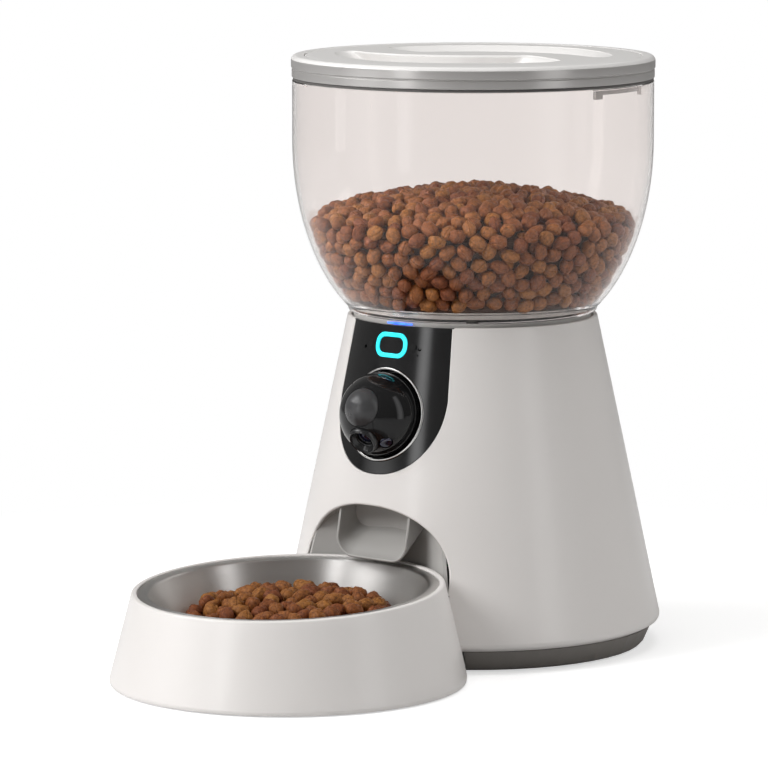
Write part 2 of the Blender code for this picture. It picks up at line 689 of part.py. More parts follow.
def base_cover():
    """Dark tapered tray under the tower, with the battery opening, screw holes and foot seats."""
    low = BASE_CLEARANCE_Z
    top = SHELL_BOTTOM_Z - GAP
    lip_r = SHELL_BOTTOM_R - SHELL_EDGE_R - GAP
    lip_top = top + BASE_LIP_HEIGHT
    profile = [(0, low), (BASE_FOOT_R - BASE_FOOT_CHAMFER, low), (BASE_FOOT_R, low + BASE_FOOT_CHAMFER)]
    profile += [(lip_r + GAP * 2, top), (lip_r, top), (lip_r, lip_top), (lip_r - BASE_WALL, lip_top)]
    profile += [(lip_r - BASE_WALL, top), (BASE_FOOT_R - BASE_WALL, BASE_FLOOR_TOP), (0, BASE_FLOOR_TOP)]
    base = make("base_cover", turned(profile), dark, tower_axis)
    cut(base, holder_cone("base_notch", NICHE_GAP, -OVERRUN, BASE_FLOOR_TOP))
    liner_grow = NICHE_GAP + LINER_WALL + GAP
    cut(base, holder_cone("base_liner_notch", liner_grow, BASE_FLOOR_TOP - GAP, lip_top + OVERRUN))
    slot_front = -(TOWER_TO_BOWL - holder_r(0)) - OVERRUN
    slot_back = slot_front + OVERRUN + NICHE_GAP + TONGUE_REACH + GAP * 2
    slot_half = TONGUE_HALF_WIDTH + GAP
    slot = block(-slot_half, slot_half, slot_front, slot_back, -OVERRUN, BASE_FLOOR_TOP + OVERRUN)
    cut(base, tool("tongue_slot", slot, tower_axis))
    half_x, half_y = bay_half_sizes()
    hatch = block(-half_x, half_x, BAY_CENTRE_Y - half_y, BAY_CENTRE_Y + half_y, 0, BASE_FLOOR_TOP + OVERRUN)
    cut(base, tool("battery_hatch", hatch, tower_axis))
    for number, angle in enumerate(FOOT_ANGLES):
        place = (*on_circle(FOOT_CENTRE_R, angle), 0)
        seat = disc(FOOT_R + GAP, 0, low + FOOT_RECESS)
        cut(base, tool(f"foot_seat_{number}", seat, tower_axis, place))
        make(f"rubber_foot_{number + 1}", disc(FOOT_R, 0, low + FOOT_RECESS - GAP), rubber, tower_axis, place)
    for number, angle in enumerate(COLUMN_ANGLES):
        place = (*on_circle(COLUMN_CENTRE_R, angle), 0)
        cut(base, tool(f"screw_hole_{number}", screw_body(GAP, OVERRUN), tower_axis, place))
        make(f"base_screw_{number + 1}", screw_body(0, 0), metal, tower_axis, place)
    holes = bmesh.new()
    for number in range(SPEAKER_HOLES + 1):
        ring_r = SPEAKER_HOLE_RING_R if number else 0
        x, y = on_circle(ring_r, 360 * number / SPEAKER_HOLES)
        one = disc(SPEAKER_HOLE_R, 0, BASE_FLOOR_TOP + OVERRUN, 8)
        bmesh.ops.translate(one, verts=one.verts, vec=(x, y, 0))
        piece = bpy.data.meshes.new("hole")
        one.to_mesh(piece)
        one.free()
        holes.from_mesh(piece)
        bpy.data.meshes.remove(piece)
    cut(base, tool("speaker_holes", holes, tower_axis, (SPEAKER_X, SPEAKER_Y, 0)))


def screw_body(grow, overrun):
    """A pan-head screw that stands head down in the base."""
    low = BASE_CLEARANCE_Z + GAP - overrun
    neck = BASE_CLEARANCE_Z + GAP + SCREW_HEAD_HEIGHT + grow
    top = BASE_CLEARANCE_Z + SCREW_LENGTH + overrun
    head_r = SCREW_HEAD_R + grow
    shank_r = SCREW_SHANK_R + grow
    return turned([(0, low), (head_r, low), (head_r, neck), (shank_r, neck), (shank_r, top), (0, top)],
                  SMALL_TURN_STEPS)


def bay_half_sizes():
    """Half sizes of the battery bay's opening in X and Y."""
    half_x = CELL_PITCH * (CELLS - 1) / 2 + CELL_R + BAY_CLEARANCE
    half_y = CELL_LENGTH / 2 + BAY_CLEARANCE
    return half_x, half_y


def battery_bay():
    """Battery box over the base opening, with its cells and the door that closes it."""
    half_x, half_y = bay_half_sizes()
    low = BASE_FLOOR_TOP + GAP
    top = low + CELL_R * 2 + BAY_CLEARANCE + BAY_WALL
    centre = (0, BAY_CENTRE_Y, 0)
    outer = block(-half_x - BAY_WALL, half_x + BAY_WALL, -half_y - BAY_WALL, half_y + BAY_WALL, low, top)
    box = make("battery_box", outer, dark, tower_axis, centre)
    cavity = block(-half_x, half_x, -half_y, half_y, low - OVERRUN, top - BAY_WALL)
    cut(box, tool("battery_cavity", cavity, tower_axis, centre))
    door_low = BASE_CLEARANCE_Z + DOOR_INSET
    door_x = half_x - GAP
    door_y = half_y - GAP
    door = block(-door_x, door_x, -door_y, door_y, door_low, door_low + DOOR_THICKNESS)
    make("battery_door", door, dark, tower_axis, centre)
    cell_z = door_low + DOOR_THICKNESS + GAP + CELL_R
    for number in range(CELLS):
        x = CELL_PITCH * (number - (CELLS - 1) / 2)
        place = (x, BAY_CENTRE_Y + CELL_LENGTH / 2, cell_z)
        make(f"battery_cell_{number + 1}", disc(CELL_R, 0, CELL_LENGTH), cell_wrap, tower_axis, place, (90, 0, 0))
    board_low = top + GAP
    board_top = board_low + BOARD_THICKNESS
    plate = block(-MAIN_BOARD_HALF_WIDTH, MAIN_BOARD_HALF_WIDTH, -MAIN_BOARD_HALF_DEPTH, MAIN_BOARD_HALF_DEPTH,
                  board_low, board_top)
    board = make("main_board", plate, green_board, tower_axis, centre)
    for number in (-1, 0, 1):
        chip_x = number * MAIN_BOARD_HALF_WIDTH / 2
        chip = block(chip_x - CHIP_HALF_WIDTH, chip_x + CHIP_HALF_WIDTH, -CHIP_HALF_WIDTH, CHIP_HALF_WIDTH,
                     board_low + BOARD_THICKNESS / 2, board_top + CHIP_HEIGHT)
        join(board, tool(f"chip_{number + 1}", chip, tower_axis, centre))


def speaker_and_inlet():
    """Speaker on the base floor, and the power inlet in the back wall."""
    low = BASE_FLOOR_TOP + GAP
    top = low + SPEAKER_HEIGHT
    magnet_r = SPEAKER_R / 2
    frame_top = low + SPEAKER_HEIGHT / 3
    profile = [(0, low), (SPEAKER_R, low), (SPEAKER_R, frame_top), (magnet_r, frame_top), (magnet_r, top), (0, top)]
    make("speaker", turned(profile, SMALL_TURN_STEPS), dark, tower_axis, (SPEAKER_X, SPEAKER_Y, 0))
    face = JACK_LENGTH
    flange_top = face - SHELL_WALL - GAP * 2
    flange_low = flange_top - JACK_FLANGE
    bore_z = face - JACK_BORE_DEPTH
    profile = [(0, 0), (JACK_R, 0), (JACK_R, flange_low), (JACK_FLANGE_R, flange_low)]
    profile += [(JACK_FLANGE_R, flange_top), (JACK_R, flange_top), (JACK_R, face), (JACK_BORE_R, face)]
    profile += [(JACK_BORE_R, bore_z), (JACK_PIN_R, bore_z), (JACK_PIN_R, face - JACK_PIN_SHORT)]
    profile.append((0, face - JACK_PIN_SHORT))
    back = math.sqrt(cone_r(JACK_Z + JACK_FLANGE_R) ** 2 - JACK_FLANGE_R ** 2)
    place = (0, back - JACK_LENGTH, JACK_Z)
    make("power_inlet", turned(profile, SMALL_TURN_STEPS), dark, tower_axis, place, (-90, 0, 0))


def niche_liner():
    """Moulded inner wall of the docking niche."""
    low = BASE_FLOOR_TOP + GAP
    liner = niche_body("liner", LINER_WALL, low)
    liner.name = "niche_liner"
    liner.data.materials.append(liner_grey)
    liner.hide_render = False
    liner.display_type = "TEXTURED"
    keep_inside(liner, tower_filling("liner_trim", SHELL_WALL + GAP))
    cut(liner, niche_body("liner_space", 0, -OVERRUN))
    cut(liner, tool("chute_passage", loft(chute_rings(GAP, OVERRUN * 2)), tower_axis))


def chute():
    """Smooth duct that drops food from the hopper outlet over the bowl's rim."""
    rings = chute_rings(0) + chute_rings(-CHUTE_WALL)[::-1]
    duct = make("food_chute", loft(rings, closed=True), liner_grey, tower_axis)
    keep_inside(duct, tower_filling("chute_trim", SHELL_WALL + GAP))


def deck():
    """Deck that closes the tower's top and carries the hopper on a raised seat."""
    hole_r = SHAFT_R + SHAFT_HOLE_GAP
    seat_r = deck_r() - SHAFT_HOLE_GAP
    seat_top = TANK_BOTTOM_Z - GAP
    profile = [(hole_r, DECK_Z), (deck_r(), DECK_Z), (deck_r(), DECK_TOP), (seat_r, DECK_TOP), (seat_r, seat_top)]
    profile += [(seat_r - DECK_SEAT_WIDTH, seat_top), (seat_r - DECK_SEAT_WIDTH, DECK_TOP), (hole_r, DECK_TOP)]
    plate = make("hopper_deck", turned(profile), white, tower_axis)
    cut(plate, outlet_tool("deck_outlet", DECK_Z - OVERRUN, DECK_TOP + OVERRUN))


def outlet_tool(name, low, high):
    """The rectangular passage that food falls through."""
    passage = block(-OUTLET_HALF_WIDTH, OUTLET_HALF_WIDTH, -OUTLET_FRONT, -OUTLET_BACK, low, high)
    return tool(name, passage, tower_axis)


def gear_train():
    """Motor, pinion and drive gear under the deck. The gear's shaft ends in a dog for the rotor."""
    distance = GEAR_MODULE * (GEAR_TEETH + PINION_TEETH) / 2
    gear_top = GEAR_BOTTOM_Z + GEAR_THICKNESS
    drive = make("drive_gear", prism(gear_outline(GEAR_TEETH, 90), GEAR_BOTTOM_Z, gear_top), nylon, tower_axis)
    middle = GEAR_BOTTOM_Z + GEAR_THICKNESS / 2
    join(drive, tool("drive_shaft", disc(SHAFT_R, middle, ROTOR_Z + GAP), tower_axis))
    join(drive, tool("drive_dog", disc(DOG_R, ROTOR_Z, ROTOR_Z + DOG_HEIGHT, 6), tower_axis))
    half_pitch = 180 / PINION_TEETH
    pinion_shape = prism(gear_outline(PINION_TEETH, 270 + half_pitch), GEAR_BOTTOM_Z, gear_top)
    pinion = make("motor_pinion", pinion_shape, nylon, tower_axis, (0, distance, 0))
    housing_low = GEAR_BOTTOM_Z - GAP - HOUSING_FLOOR
    motor_top = housing_low - GAP
    stub = disc(MOTOR_SHAFT_R, motor_top + GAP, middle, 16)
    join(pinion, tool("pinion_stub", stub, tower_axis, (0, distance, 0)))
    tip_r = GEAR_MODULE * (GEAR_TEETH / 2 + TOOTH_ADDENDUM_SHARE) + GAP * 2
    back = distance + GEAR_MODULE * (PINION_TEETH / 2 + TOOTH_ADDENDUM_SHARE) + GAP * 2
    outer = block(-HOUSING_HALF_WIDTH, HOUSING_HALF_WIDTH, -tip_r - HOUSING_WALL, back + HOUSING_WALL,
                  housing_low, DECK_Z - GAP)
    housing = make("gear_housing", outer, nylon, tower_axis)
    inner_x = HOUSING_HALF_WIDTH - HOUSING_WALL
    cut(housing, tool("gear_space", block(-inner_x, inner_x, -tip_r, back, GEAR_BOTTOM_Z - GAP, DECK_Z + OVERRUN),
                      tower_axis))
    hole = disc(MOTOR_SHAFT_R + SHAFT_HOLE_GAP, housing_low - OVERRUN, middle)
    cut(housing, tool("motor_hole", hole, tower_axis, (0, distance, 0)))
    motor = disc(MOTOR_R, motor_top - MOTOR_LENGTH, motor_top)
    make("feed_motor", motor, metal, tower_axis, (0, distance, 0))


def rotor():
    """Feeding rotor that sweeps one portion at a time over the outlet."""
    points = []
    tip_angle = math.degrees(math.asin(ROTOR_VANE_WIDTH / 2 / ROTOR_R))
    root_angle = math.degrees(math.asin(ROTOR_VANE_WIDTH / 2 / ROTOR_HUB_R))
    for vane in range(ROTOR_VANES):
        middle = 360 * vane / ROTOR_VANES
        points += [on_circle(ROTOR_HUB_R, middle - root_angle), on_circle(ROTOR_R, middle - tip_angle)]
        points += [on_circle(ROTOR_R, middle + tip_angle), on_circle(ROTOR_HUB_R, middle + root_angle)]
    wheel = make("feed_rotor", prism(points, ROTOR_Z, ROTOR_TOP), silicone, tower_axis)
    socket = disc(DOG_R + GAP, ROTOR_Z - OVERRUN, ROTOR_Z + DOG_HEIGHT + GAP, 6)
    cut(wheel, tool("rotor_socket", socket, tower_axis))


def tank_curve():
    """Outer face of the hopper from its foot up to its rim."""
    points = []
    full_bend = 1 - math.sqrt(1 - TANK_CURVE_SHARE ** 2)
    for step in range(TANK_CURVE_STEPS + 1):
        share = step / TANK_CURVE_STEPS
        height = TANK_FLOOR_Z + (TANK_SHOULDER_Z - TANK_FLOOR_Z) * share
        bend = 1 - math.sqrt(1 - (TANK_CURVE_SHARE * (1 - share)) ** 2)
        points.append((TANK_R - (TANK_R - SHELL_TOP_R) * bend / full_bend, height))
    points.append((TANK_R, TANK_TOP_Z))
    return points


def hopper():
    """Clear hopper with two lid catches, its floor, and the food in it."""
    outer = tank_curve()
    inner = [point for point in offset_outwards(outer, -TANK_WALL)[::-1] if point[1] > FLOOR_TOP]
    inner[0] = (inner[0][0], TANK_TOP_Z)
    foot_r = outer[0][0]
    flange_r = foot_r - TANK_FLANGE_REACH
    profile = [(foot_r - TANK_WALL / 2, TANK_BOTTOM_Z), (foot_r - GAP, TANK_BOTTOM_Z + TANK_FOOT_HEIGHT / 2)]
    profile += outer + inner + [(foot_r - TANK_WALL, TANK_FLOOR_Z), (flange_r, TANK_FLOOR_Z)]
    profile.append((flange_r, TANK_BOTTOM_Z))
    make("hopper_tank", turned(profile), clear, tower_axis)
    wall_r = TANK_R - TANK_WALL - GAP
    top = TANK_TOP_Z - CATCH_BELOW_RIM
    for number, start in enumerate((CATCH_START, CATCH_START + 180)):
        bar = arc_block(wall_r - CATCH_REACH, wall_r, start, CATCH_SWEEP, top - CATCH_HEIGHT, top)
        catch = make(f"lid_catch_{number + 1}", bar, clear, tower_axis)
        stub_low = top - CATCH_HEIGHT - CATCH_STUB_DROP
        stub = arc_block(wall_r - CATCH_REACH, wall_r, start, CATCH_STUB_SWEEP, stub_low, top, 1)
        join(catch, tool(f"catch_stub_{number}", stub, tower_axis))
    hole_r = SHAFT_R + SHAFT_HOLE_GAP * 2
    floor_r = foot_r - TANK_WALL * 2
    plate = [(hole_r, FLOOR_Z), (floor_r, FLOOR_Z), (floor_r, FLOOR_TOP), (hole_r, FLOOR_TOP)]
    floor = make("hopper_floor", turned(plate), liner_grey, tower_axis)
    cut(floor, outlet_tool("floor_outlet", FLOOR_Z - OVERRUN, FLOOR_TOP + OVERRUN))
    wall = [point for point in offset_outwards(outer, -TANK_WALL - KIBBLE_GAP)
            if FLOOR_TOP + GAP < point[1] < KIBBLE_EDGE_Z]
    around_r = ROTOR_R + ROTOR_VANE_WIDTH / 2
    over_z = ROTOR_TOP + ROTOR_VANE_WIDTH / 2
    heap = [(0, over_z), (around_r, over_z), (around_r, FLOOR_TOP + GAP), (floor_r, FLOOR_TOP + GAP)] + wall
    edge_r = wall[-1][0]
    for step in range(1, ARC_STEPS + 1):
        share = 1 - step / ARC_STEPS
        heap.append((edge_r * share, KIBBLE_PEAK_Z - (KIBBLE_PEAK_Z - KIBBLE_EDGE_Z) * share ** 2))
    make("hopper_kibble", turned(heap, HEAP_TURN_STEPS), food, tower_axis)


def lid():
    """Lid of an outer ring and a top panel whose two finger wells leave a grip bar between them."""
    plug_r = TANK_R - TANK_WALL - LID_PLUG_GAP
    ledge_top = LID_TOP_Z - LID_PANEL_THICKNESS - GAP - LID_Z
    top = LID_TOP_Z - LID_Z
    shoulder_r = LID_R - LID_SHOULDER_R
    profile = [(LID_R, 0), (LID_R, LID_SIDE_HEIGHT)]
    profile += arc(shoulder_r, LID_SIDE_HEIGHT, LID_SHOULDER_R, 0, 90)[1:]
    profile += [(LID_GROOVE_R, top), (LID_GROOVE_R, ledge_top), (LID_GROOVE_R - LID_LEDGE_REACH, ledge_top)]
    profile += [(LID_GROOVE_R - LID_LEDGE_REACH, ledge_top - LID_LEDGE_THICKNESS)]
    profile += [(plug_r - LID_PLUG_WALL, ledge_top - LID_LEDGE_THICKNESS), (plug_r - LID_PLUG_WALL, -LID_PLUG_DEPTH)]
    profile += [(plug_r, -LID_PLUG_DEPTH), (plug_r, 0)]
    rim = make("lid_rim", turned(profile), white, lid_axis)
    for number, start in enumerate((LUG_START, LUG_START + 180)):
        lug = arc_block(plug_r - LID_PLUG_WALL, plug_r - GAP, start, LUG_SWEEP, -LID_PLUG_DEPTH - LUG_DROP, 0)
        join(rim, tool(f"lid_lug_{number}", lug, lid_axis))
    panel_r = LID_GROOVE_R - LID_GROOVE_GAP
    under = ledge_top + GAP
    crown = [(panel_r, top - GAP), (WELL_CLEAR_R, top), (0, top + LID_CROWN)]
    panel = make("lid_panel", turned([(0, under), (panel_r, under)] + crown), white, lid_axis)
    cup_low = top - WELL_DEPTH - WELL_WALL
    turns = ((0, 0, BAR_ANGLE), (0, 0, BAR_ANGLE + 180))
    for number, turn in enumerate(turns):
        cup = loft(well_rings(WELL_WALL, under + LID_PANEL_THICKNESS / 2, cup_low))
        join(panel, tool(f"well_cup_{number}", cup, lid_axis, rotation=turn))
    for number, turn in enumerate(turns):
        well = loft(well_rings(0, top + LID_CROWN * 2, top - WELL_DEPTH))
        cut(panel, tool(f"well_{number}", well, lid_axis, rotation=turn))
    seal_r = TANK_R - GAP
    seal_low = SEAL_Z - LID_Z
    seal = [(seal_r, seal_low), (seal_r, seal_low + SEAL_HEIGHT)]
    seal += [(seal_r - TANK_WALL, seal_low + SEAL_HEIGHT), (seal_r - TANK_WALL, seal_low)]
    make("lid_seal", turned(seal), silicone, lid_axis)


def front_panel():
    """Black panel in the tower's front, with the light ring, the button and its switch board."""
    outline = arch_outline(FASCIA_HALF_WIDTH, FASCIA_SPRING_Z, FASCIA_BOTTOM_Z, FASCIA_ROUNDNESS,
                           FASCIA_TOP_HALF_WIDTH, SHELL_TOP_Z)
    fascia = make("front_panel", cone_skin(FASCIA_INSET, FASCIA_THICKNESS), gloss_black, tower_axis)
    keep_inside(fascia, tool("panel_outline", through_front(outline, SHELL_TOP_R / 2), tower_axis))
    hole = disc(camera_ring_r() + GAP, -BALL_R, BALL_R, TURN_STEPS)
    cut(fascia, tool("camera_hole", hole, camera_centre, rotation=(90 - cone_lean(), 0, 0)))
    place, turn = front_normal(BUTTON_Z)
    for number, side in enumerate((-1, 1)):
        post = disc(BOARD_POST_R, GAP - BOARD_DEPTH, -FASCIA_INSET - FASCIA_THICKNESS / 2, 16)
        bmesh.ops.translate(post, verts=post.verts, vec=(side * BOARD_POST_X, 0, 0))
        join(fascia, tool(f"board_post_{number}", post, tower_axis, place, turn))
    half_width = RING_WIDTH / 2
    half_height = RING_HEIGHT / 2
    back = -BOARD_DEPTH / 2

    def ring_prism(name, inset):
        """Rounded block through the panel, inset from the ring's outline."""
        shape = rounded_rectangle(half_width - inset, half_height - inset, RING_CORNER_R - inset, steps=6)
        return tool(name, prism(shape, back, OVERRUN), tower_axis, place, turn)

    cut(fascia, ring_prism("ring_seat", -GAP))
    ring = make("light_ring", cone_skin(RING_INSET, RING_THICKNESS), cyan, tower_axis)
    keep_inside(ring, ring_prism("ring_outside", 0))
    cut(ring, ring_prism("ring_inside", RING_BAND))
    button = make("feed_button", cone_skin(BUTTON_INSET, RING_THICKNESS), gloss_black, tower_axis)
    keep_inside(button, ring_prism("button_outline", RING_BAND + GAP))
    switch_top = BOARD_THICKNESS + SWITCH_HEIGHT - BOARD_DEPTH
    stem = disc(BUTTON_STEM_R, switch_top + BUTTON_TRAVEL + GAP, -BUTTON_INSET - RING_THICKNESS / 2, 16)
    join(button, tool("button_stem", stem, tower_axis, place, turn))
    plate = block(-BOARD_HALF_WIDTH, BOARD_HALF_WIDTH, -BOARD_HALF_HEIGHT, BOARD_HALF_HEIGHT,
                  -BOARD_DEPTH - BOARD_THICKNESS, -BOARD_DEPTH)
    board = make("button_board", plate, green_board, tower_axis, place, turn)
    switch = block(-SWITCH_HALF_WIDTH, SWITCH_HALF_WIDTH, -SWITCH_HALF_WIDTH, SWITCH_HALF_WIDTH,
                   -BOARD_DEPTH - BOARD_THICKNESS / 2, switch_top)
    join(board, tool("button_switch", switch, tower_axis, place, turn))


def camera_ring_r():
    """Outer radius of the bright ring round the ball."""
    return BALL_R + CAMERA_RING_GAP + CAMERA_RING_WIDTH


def camera_mount():
    """Trim ring round the ball, and the socket behind it whose neck carries the ball."""
    turn = (90 - cone_lean(), 0, 0)
    ring = make("camera_ring", cone_skin(FASCIA_INSET - CAMERA_RING_PROUD, FASCIA_THICKNESS + CAMERA_RING_PROUD),
                dark, tower_axis)
    keep_inside(ring, tool("ring_outer", disc(camera_ring_r(), -BALL_R, BALL_R, TURN_STEPS), camera_centre,
                           rotation=turn))
    inner_r = camera_ring_r() - CAMERA_RING_WIDTH
    cut(ring, tool("ring_inner", disc(inner_r, -BALL_R * 2, BALL_R * 2, TURN_STEPS), camera_centre, rotation=turn))
    inner = BALL_R + SOCKET_GAP
    outer = inner + SOCKET_WALL
    lip_inner = math.degrees(math.asin(SOCKET_LIP_BACK / inner))
    lip_outer = math.degrees(math.asin(SOCKET_LIP_BACK / outer))
    neck_angle = math.degrees(math.acos(NECK_R / inner))
    profile = [(0, -NECK_PIN_R / 2), (NECK_R, -NECK_PIN_R / 2)]
    profile += arc(0, 0, inner, -neck_angle, -lip_inner, BALL_ARC_STEPS) + arc(0, 0, outer, -lip_outer, -90, BALL_ARC_STEPS)
    profile[-1] = (0, -outer)
    socket = make("camera_socket", turned(profile, BALL_TURN_STEPS), dark, camera_centre, rotation=turn)
    pin = disc(NECK_PIN_R, -NECK_PIN_HALF_HEIGHT, NECK_PIN_HALF_HEIGHT, 24)
    join(socket, tool("pan_pin", pin, camera_centre))


def camera_ball():
    """Pan block on the neck's pin, and the tilting ball with its sensor, lens and lamp window."""
    body = block(-BLOCK_HALF_WIDTH, BLOCK_HALF_WIDTH, -BLOCK_FRONT, BLOCK_BACK, -BLOCK_HALF_HEIGHT, BLOCK_HALF_HEIGHT)
    carrier = make("pan_block", body, nylon, camera_centre)
    inner_x = BLOCK_HALF_WIDTH - BLOCK_WALL
    inner_z = BLOCK_HALF_HEIGHT - BLOCK_WALL
    space = block(-inner_x, inner_x, BLOCK_WALL - BLOCK_FRONT, BLOCK_BACK + OVERRUN, -inner_z, inner_z)
    trunnion_end = BALL_R - BALL_WALL - TRUNNION_GAP
    axle = disc(TRUNNION_R, -trunnion_end, trunnion_end, 24)
    join(carrier, tool("trunnions", axle, camera_centre, rotation=(0, 90, 0)))
    cut(carrier, tool("pan_space", space, camera_centre))
    bore = disc(NECK_PIN_R + PIN_CLEARANCE, -BLOCK_HALF_HEIGHT - OVERRUN, BLOCK_HALF_HEIGHT + OVERRUN, 24)
    cut(carrier, tool("pan_bore", bore, camera_centre))
    inner = BALL_R - BALL_WALL
    half_gap = math.degrees(math.asin(GAP / 2 / BALL_R))
    front = arc(0, 0, BALL_R, half_gap, 90, BALL_ARC_STEPS) + arc(0, 0, inner, 90, half_gap, BALL_ARC_STEPS)
    front[BALL_ARC_STEPS] = (0, BALL_R)
    front[BALL_ARC_STEPS + 1] = (0, inner)
    forward = (90, 0, 0)
    shell = make("camera_front_shell", turned(front, BALL_TURN_STEPS), ball_black, camera_centre,
                 rotation=forward)
    opening = BACK_OPENING_ANGLE - 90
    rear = arc(0, 0, BALL_R, opening, -half_gap, ARC_STEPS) + arc(0, 0, inner, -half_gap, opening, ARC_STEPS)
    make("camera_rear_shell", turned(rear, BALL_TURN_STEPS), ball_black, camera_centre, rotation=forward)
    seats = (("pir", FACE_AZIMUTH, PIR_ELEVATION, PIR_R), ("lens", FACE_AZIMUTH, LENS_ELEVATION, LENS_R),
             ("lamp", IR_AZIMUTH, IR_ELEVATION, IR_R))
    for name, azimuth, elevation, radius in seats:
        seat = disc(radius + GAP, inner / 2, BALL_R * 2)
        cut(shell, tool(name + "_seat", seat, camera_centre, rotation=looking(azimuth, elevation)))
    rim_z = math.sqrt(BALL_R ** 2 - PIR_R ** 2)
    rise = BALL_R + PIR_PROUD - rim_z
    dome_r = (PIR_R ** 2 + rise ** 2) / (2 * rise)
    centre_z = rim_z + rise - dome_r
    spread = math.degrees(math.asin(PIR_R / dome_r))
    outside = arc(0, centre_z, dome_r, 90 - spread, 90)
    inside = arc(0, centre_z, dome_r - PIR_WALL, 90, 90 - spread)
    outside[-1] = (0, outside[-1][1])
    inside[0] = (0, inside[0][1])
    skirt_z = rim_z - PIR_SKIRT
    dome = outside + inside + [(inside[-1][0], skirt_z), (PIR_R, skirt_z)]
    make("motion_sensor_dome", turned(dome, BALL_TURN_STEPS), pir_grey, camera_centre,
         rotation=looking(FACE_AZIMUTH, PIR_ELEVATION))
    face = BALL_R + LENS_PROUD
    back = BALL_R - LENS_DEPTH
    lip_r = LENS_R - LENS_LIP
    step_r = GLASS_R + GAP
    glass_seat = back + LENS_STEP
    barrel = [(LENS_R, back), (LENS_R, face - LENS_PROUD), (LENS_R - LENS_LIP / 2, face), (lip_r, face - LENS_PROUD)]
    barrel += [(lip_r - GAP, face - LENS_STEP * 2), (step_r + GAP, face - LENS_STEP * 2), (step_r, glass_seat)]
    barrel += [(GLASS_R - LENS_STEP, glass_seat), (GLASS_R - LENS_STEP, back)]
    lens_turn = looking(FACE_AZIMUTH, LENS_ELEVATION)
    make("lens_barrel", turned(barrel, BALL_TURN_STEPS), ball_black, camera_centre, rotation=lens_turn)
    glass_low = glass_seat + GAP
    glass = [(0, glass_low), (GLASS_R, glass_low), (GLASS_R, glass_low + GLASS_THICKNESS / 2)]
    glass += [(GLASS_R / 2, glass_low + GLASS_THICKNESS), (0, glass_low + GLASS_THICKNESS * 1.2)]
    make("lens_glass", turned(glass, SMALL_TURN_STEPS), lens_glass_look, camera_centre, rotation=lens_turn)
    lamp_top = math.sqrt(BALL_R ** 2 - IR_R ** 2)
    lamp = disc(IR_R, lamp_top - IR_THICKNESS, lamp_top)
    make("night_lamp_window", lamp, lens_glass_look, camera_centre, rotation=looking(IR_AZIMUTH, IR_ELEVATION))


def bowl_holder():
    """White ring that carries the bowl. Its rim leans forward and its tongue docks in the base."""
    low = HOLDER_CLEARANCE_Z
    edge_z = HOLDER_HEIGHT - HOLDER_EDGE_R
    lip_inner = HOLDER_TOP_R - HOLDER_EDGE_R - HOLDER_LIP_WIDTH
    rebate_z = HOLDER_HEIGHT - HOLDER_REBATE_DEPTH
    ring_z = rebate_z - HOLDER_RING_DEPTH
    mouth_r = bowl_mouth_r() + BOWL_STEEL + NICHE_GAP
    flange_top = low + HOLDER_WALL
    flange_r = holder_r(0) - HOLDER_FLANGE_REACH
    profile = [(HOLDER_BOTTOM_R - HOLDER_EDGE_R, low), (HOLDER_BOTTOM_R, low + HOLDER_EDGE_R)]
    profile += arc(HOLDER_TOP_R - HOLDER_EDGE_R, edge_z, HOLDER_EDGE_R, 0, 90)
    profile += [(lip_inner, HOLDER_HEIGHT), (lip_inner, rebate_z), (mouth_r, rebate_z), (mouth_r, ring_z)]
    profile += [(holder_r(ring_z) - HOLDER_WALL, ring_z), (holder_r(flange_top) - HOLDER_WALL, flange_top)]
    profile += [(flange_r, flange_top), (flange_r, low)]
    holder = make("bowl_holder", turned(profile, lean=rim_lean), white, bowl_axis)
    tongue_low = low + GAP
    tongue = block(-TONGUE_HALF_WIDTH, TONGUE_HALF_WIDTH, holder_r(0) - HOLDER_FLANGE_REACH / 2,
                   holder_r(0) + NICHE_GAP + TONGUE_REACH, tongue_low, tongue_low + TONGUE_HEIGHT)
    join(holder, tool("dock_tongue", tongue, bowl_axis))
    for number, angle in enumerate(PAD_ANGLES):
        place = (*on_circle(PAD_CENTRE_R, angle), 0)
        cut(holder, tool(f"pad_seat_{number}", disc(PAD_R + GAP, 0, low + PAD_RECESS), bowl_axis, place))
        make(f"holder_pad_{number + 1}", disc(PAD_R, 0, low + PAD_RECESS - GAP, 20), rubber, bowl_axis, place)


def bowl_mouth_r():
    """Inner radius of the steel bowl at its rim."""
    return HOLDER_TOP_R - HOLDER_EDGE_R - HOLDER_LIP_WIDTH - GAP - BOWL_FLANGE_WIDTH


def bowl_inside():
    """Inner face of the steel bowl, from its rim flange down to the middle of its floor."""
    top = HOLDER_HEIGHT - HOLDER_REBATE_DEPTH + GAP + BOWL_STEEL
    floor_z = top - BOWL_DEPTH
    mouth_r = bowl_mouth_r()
    foot_r = mouth_r - BOWL_WALL_DRAFT
    points = [(mouth_r + BOWL_FLANGE_WIDTH, top), (mouth_r + BOWL_STEEL, top), (mouth_r, top - BOWL_STEEL)]
    points += arc(foot_r - BOWL_CORNER_R, floor_z + BOWL_CORNER_R, BOWL_CORNER_R, 0, -90)
    points.append((BOWL_FLOOR_R / 2, floor_z))
    points.append((0, floor_z))
    return points


def bowl_lean(y, _height):
    """The bowl lies parallel to the holder's leaning rim."""
    return y * HOLDER_TILT_RISE


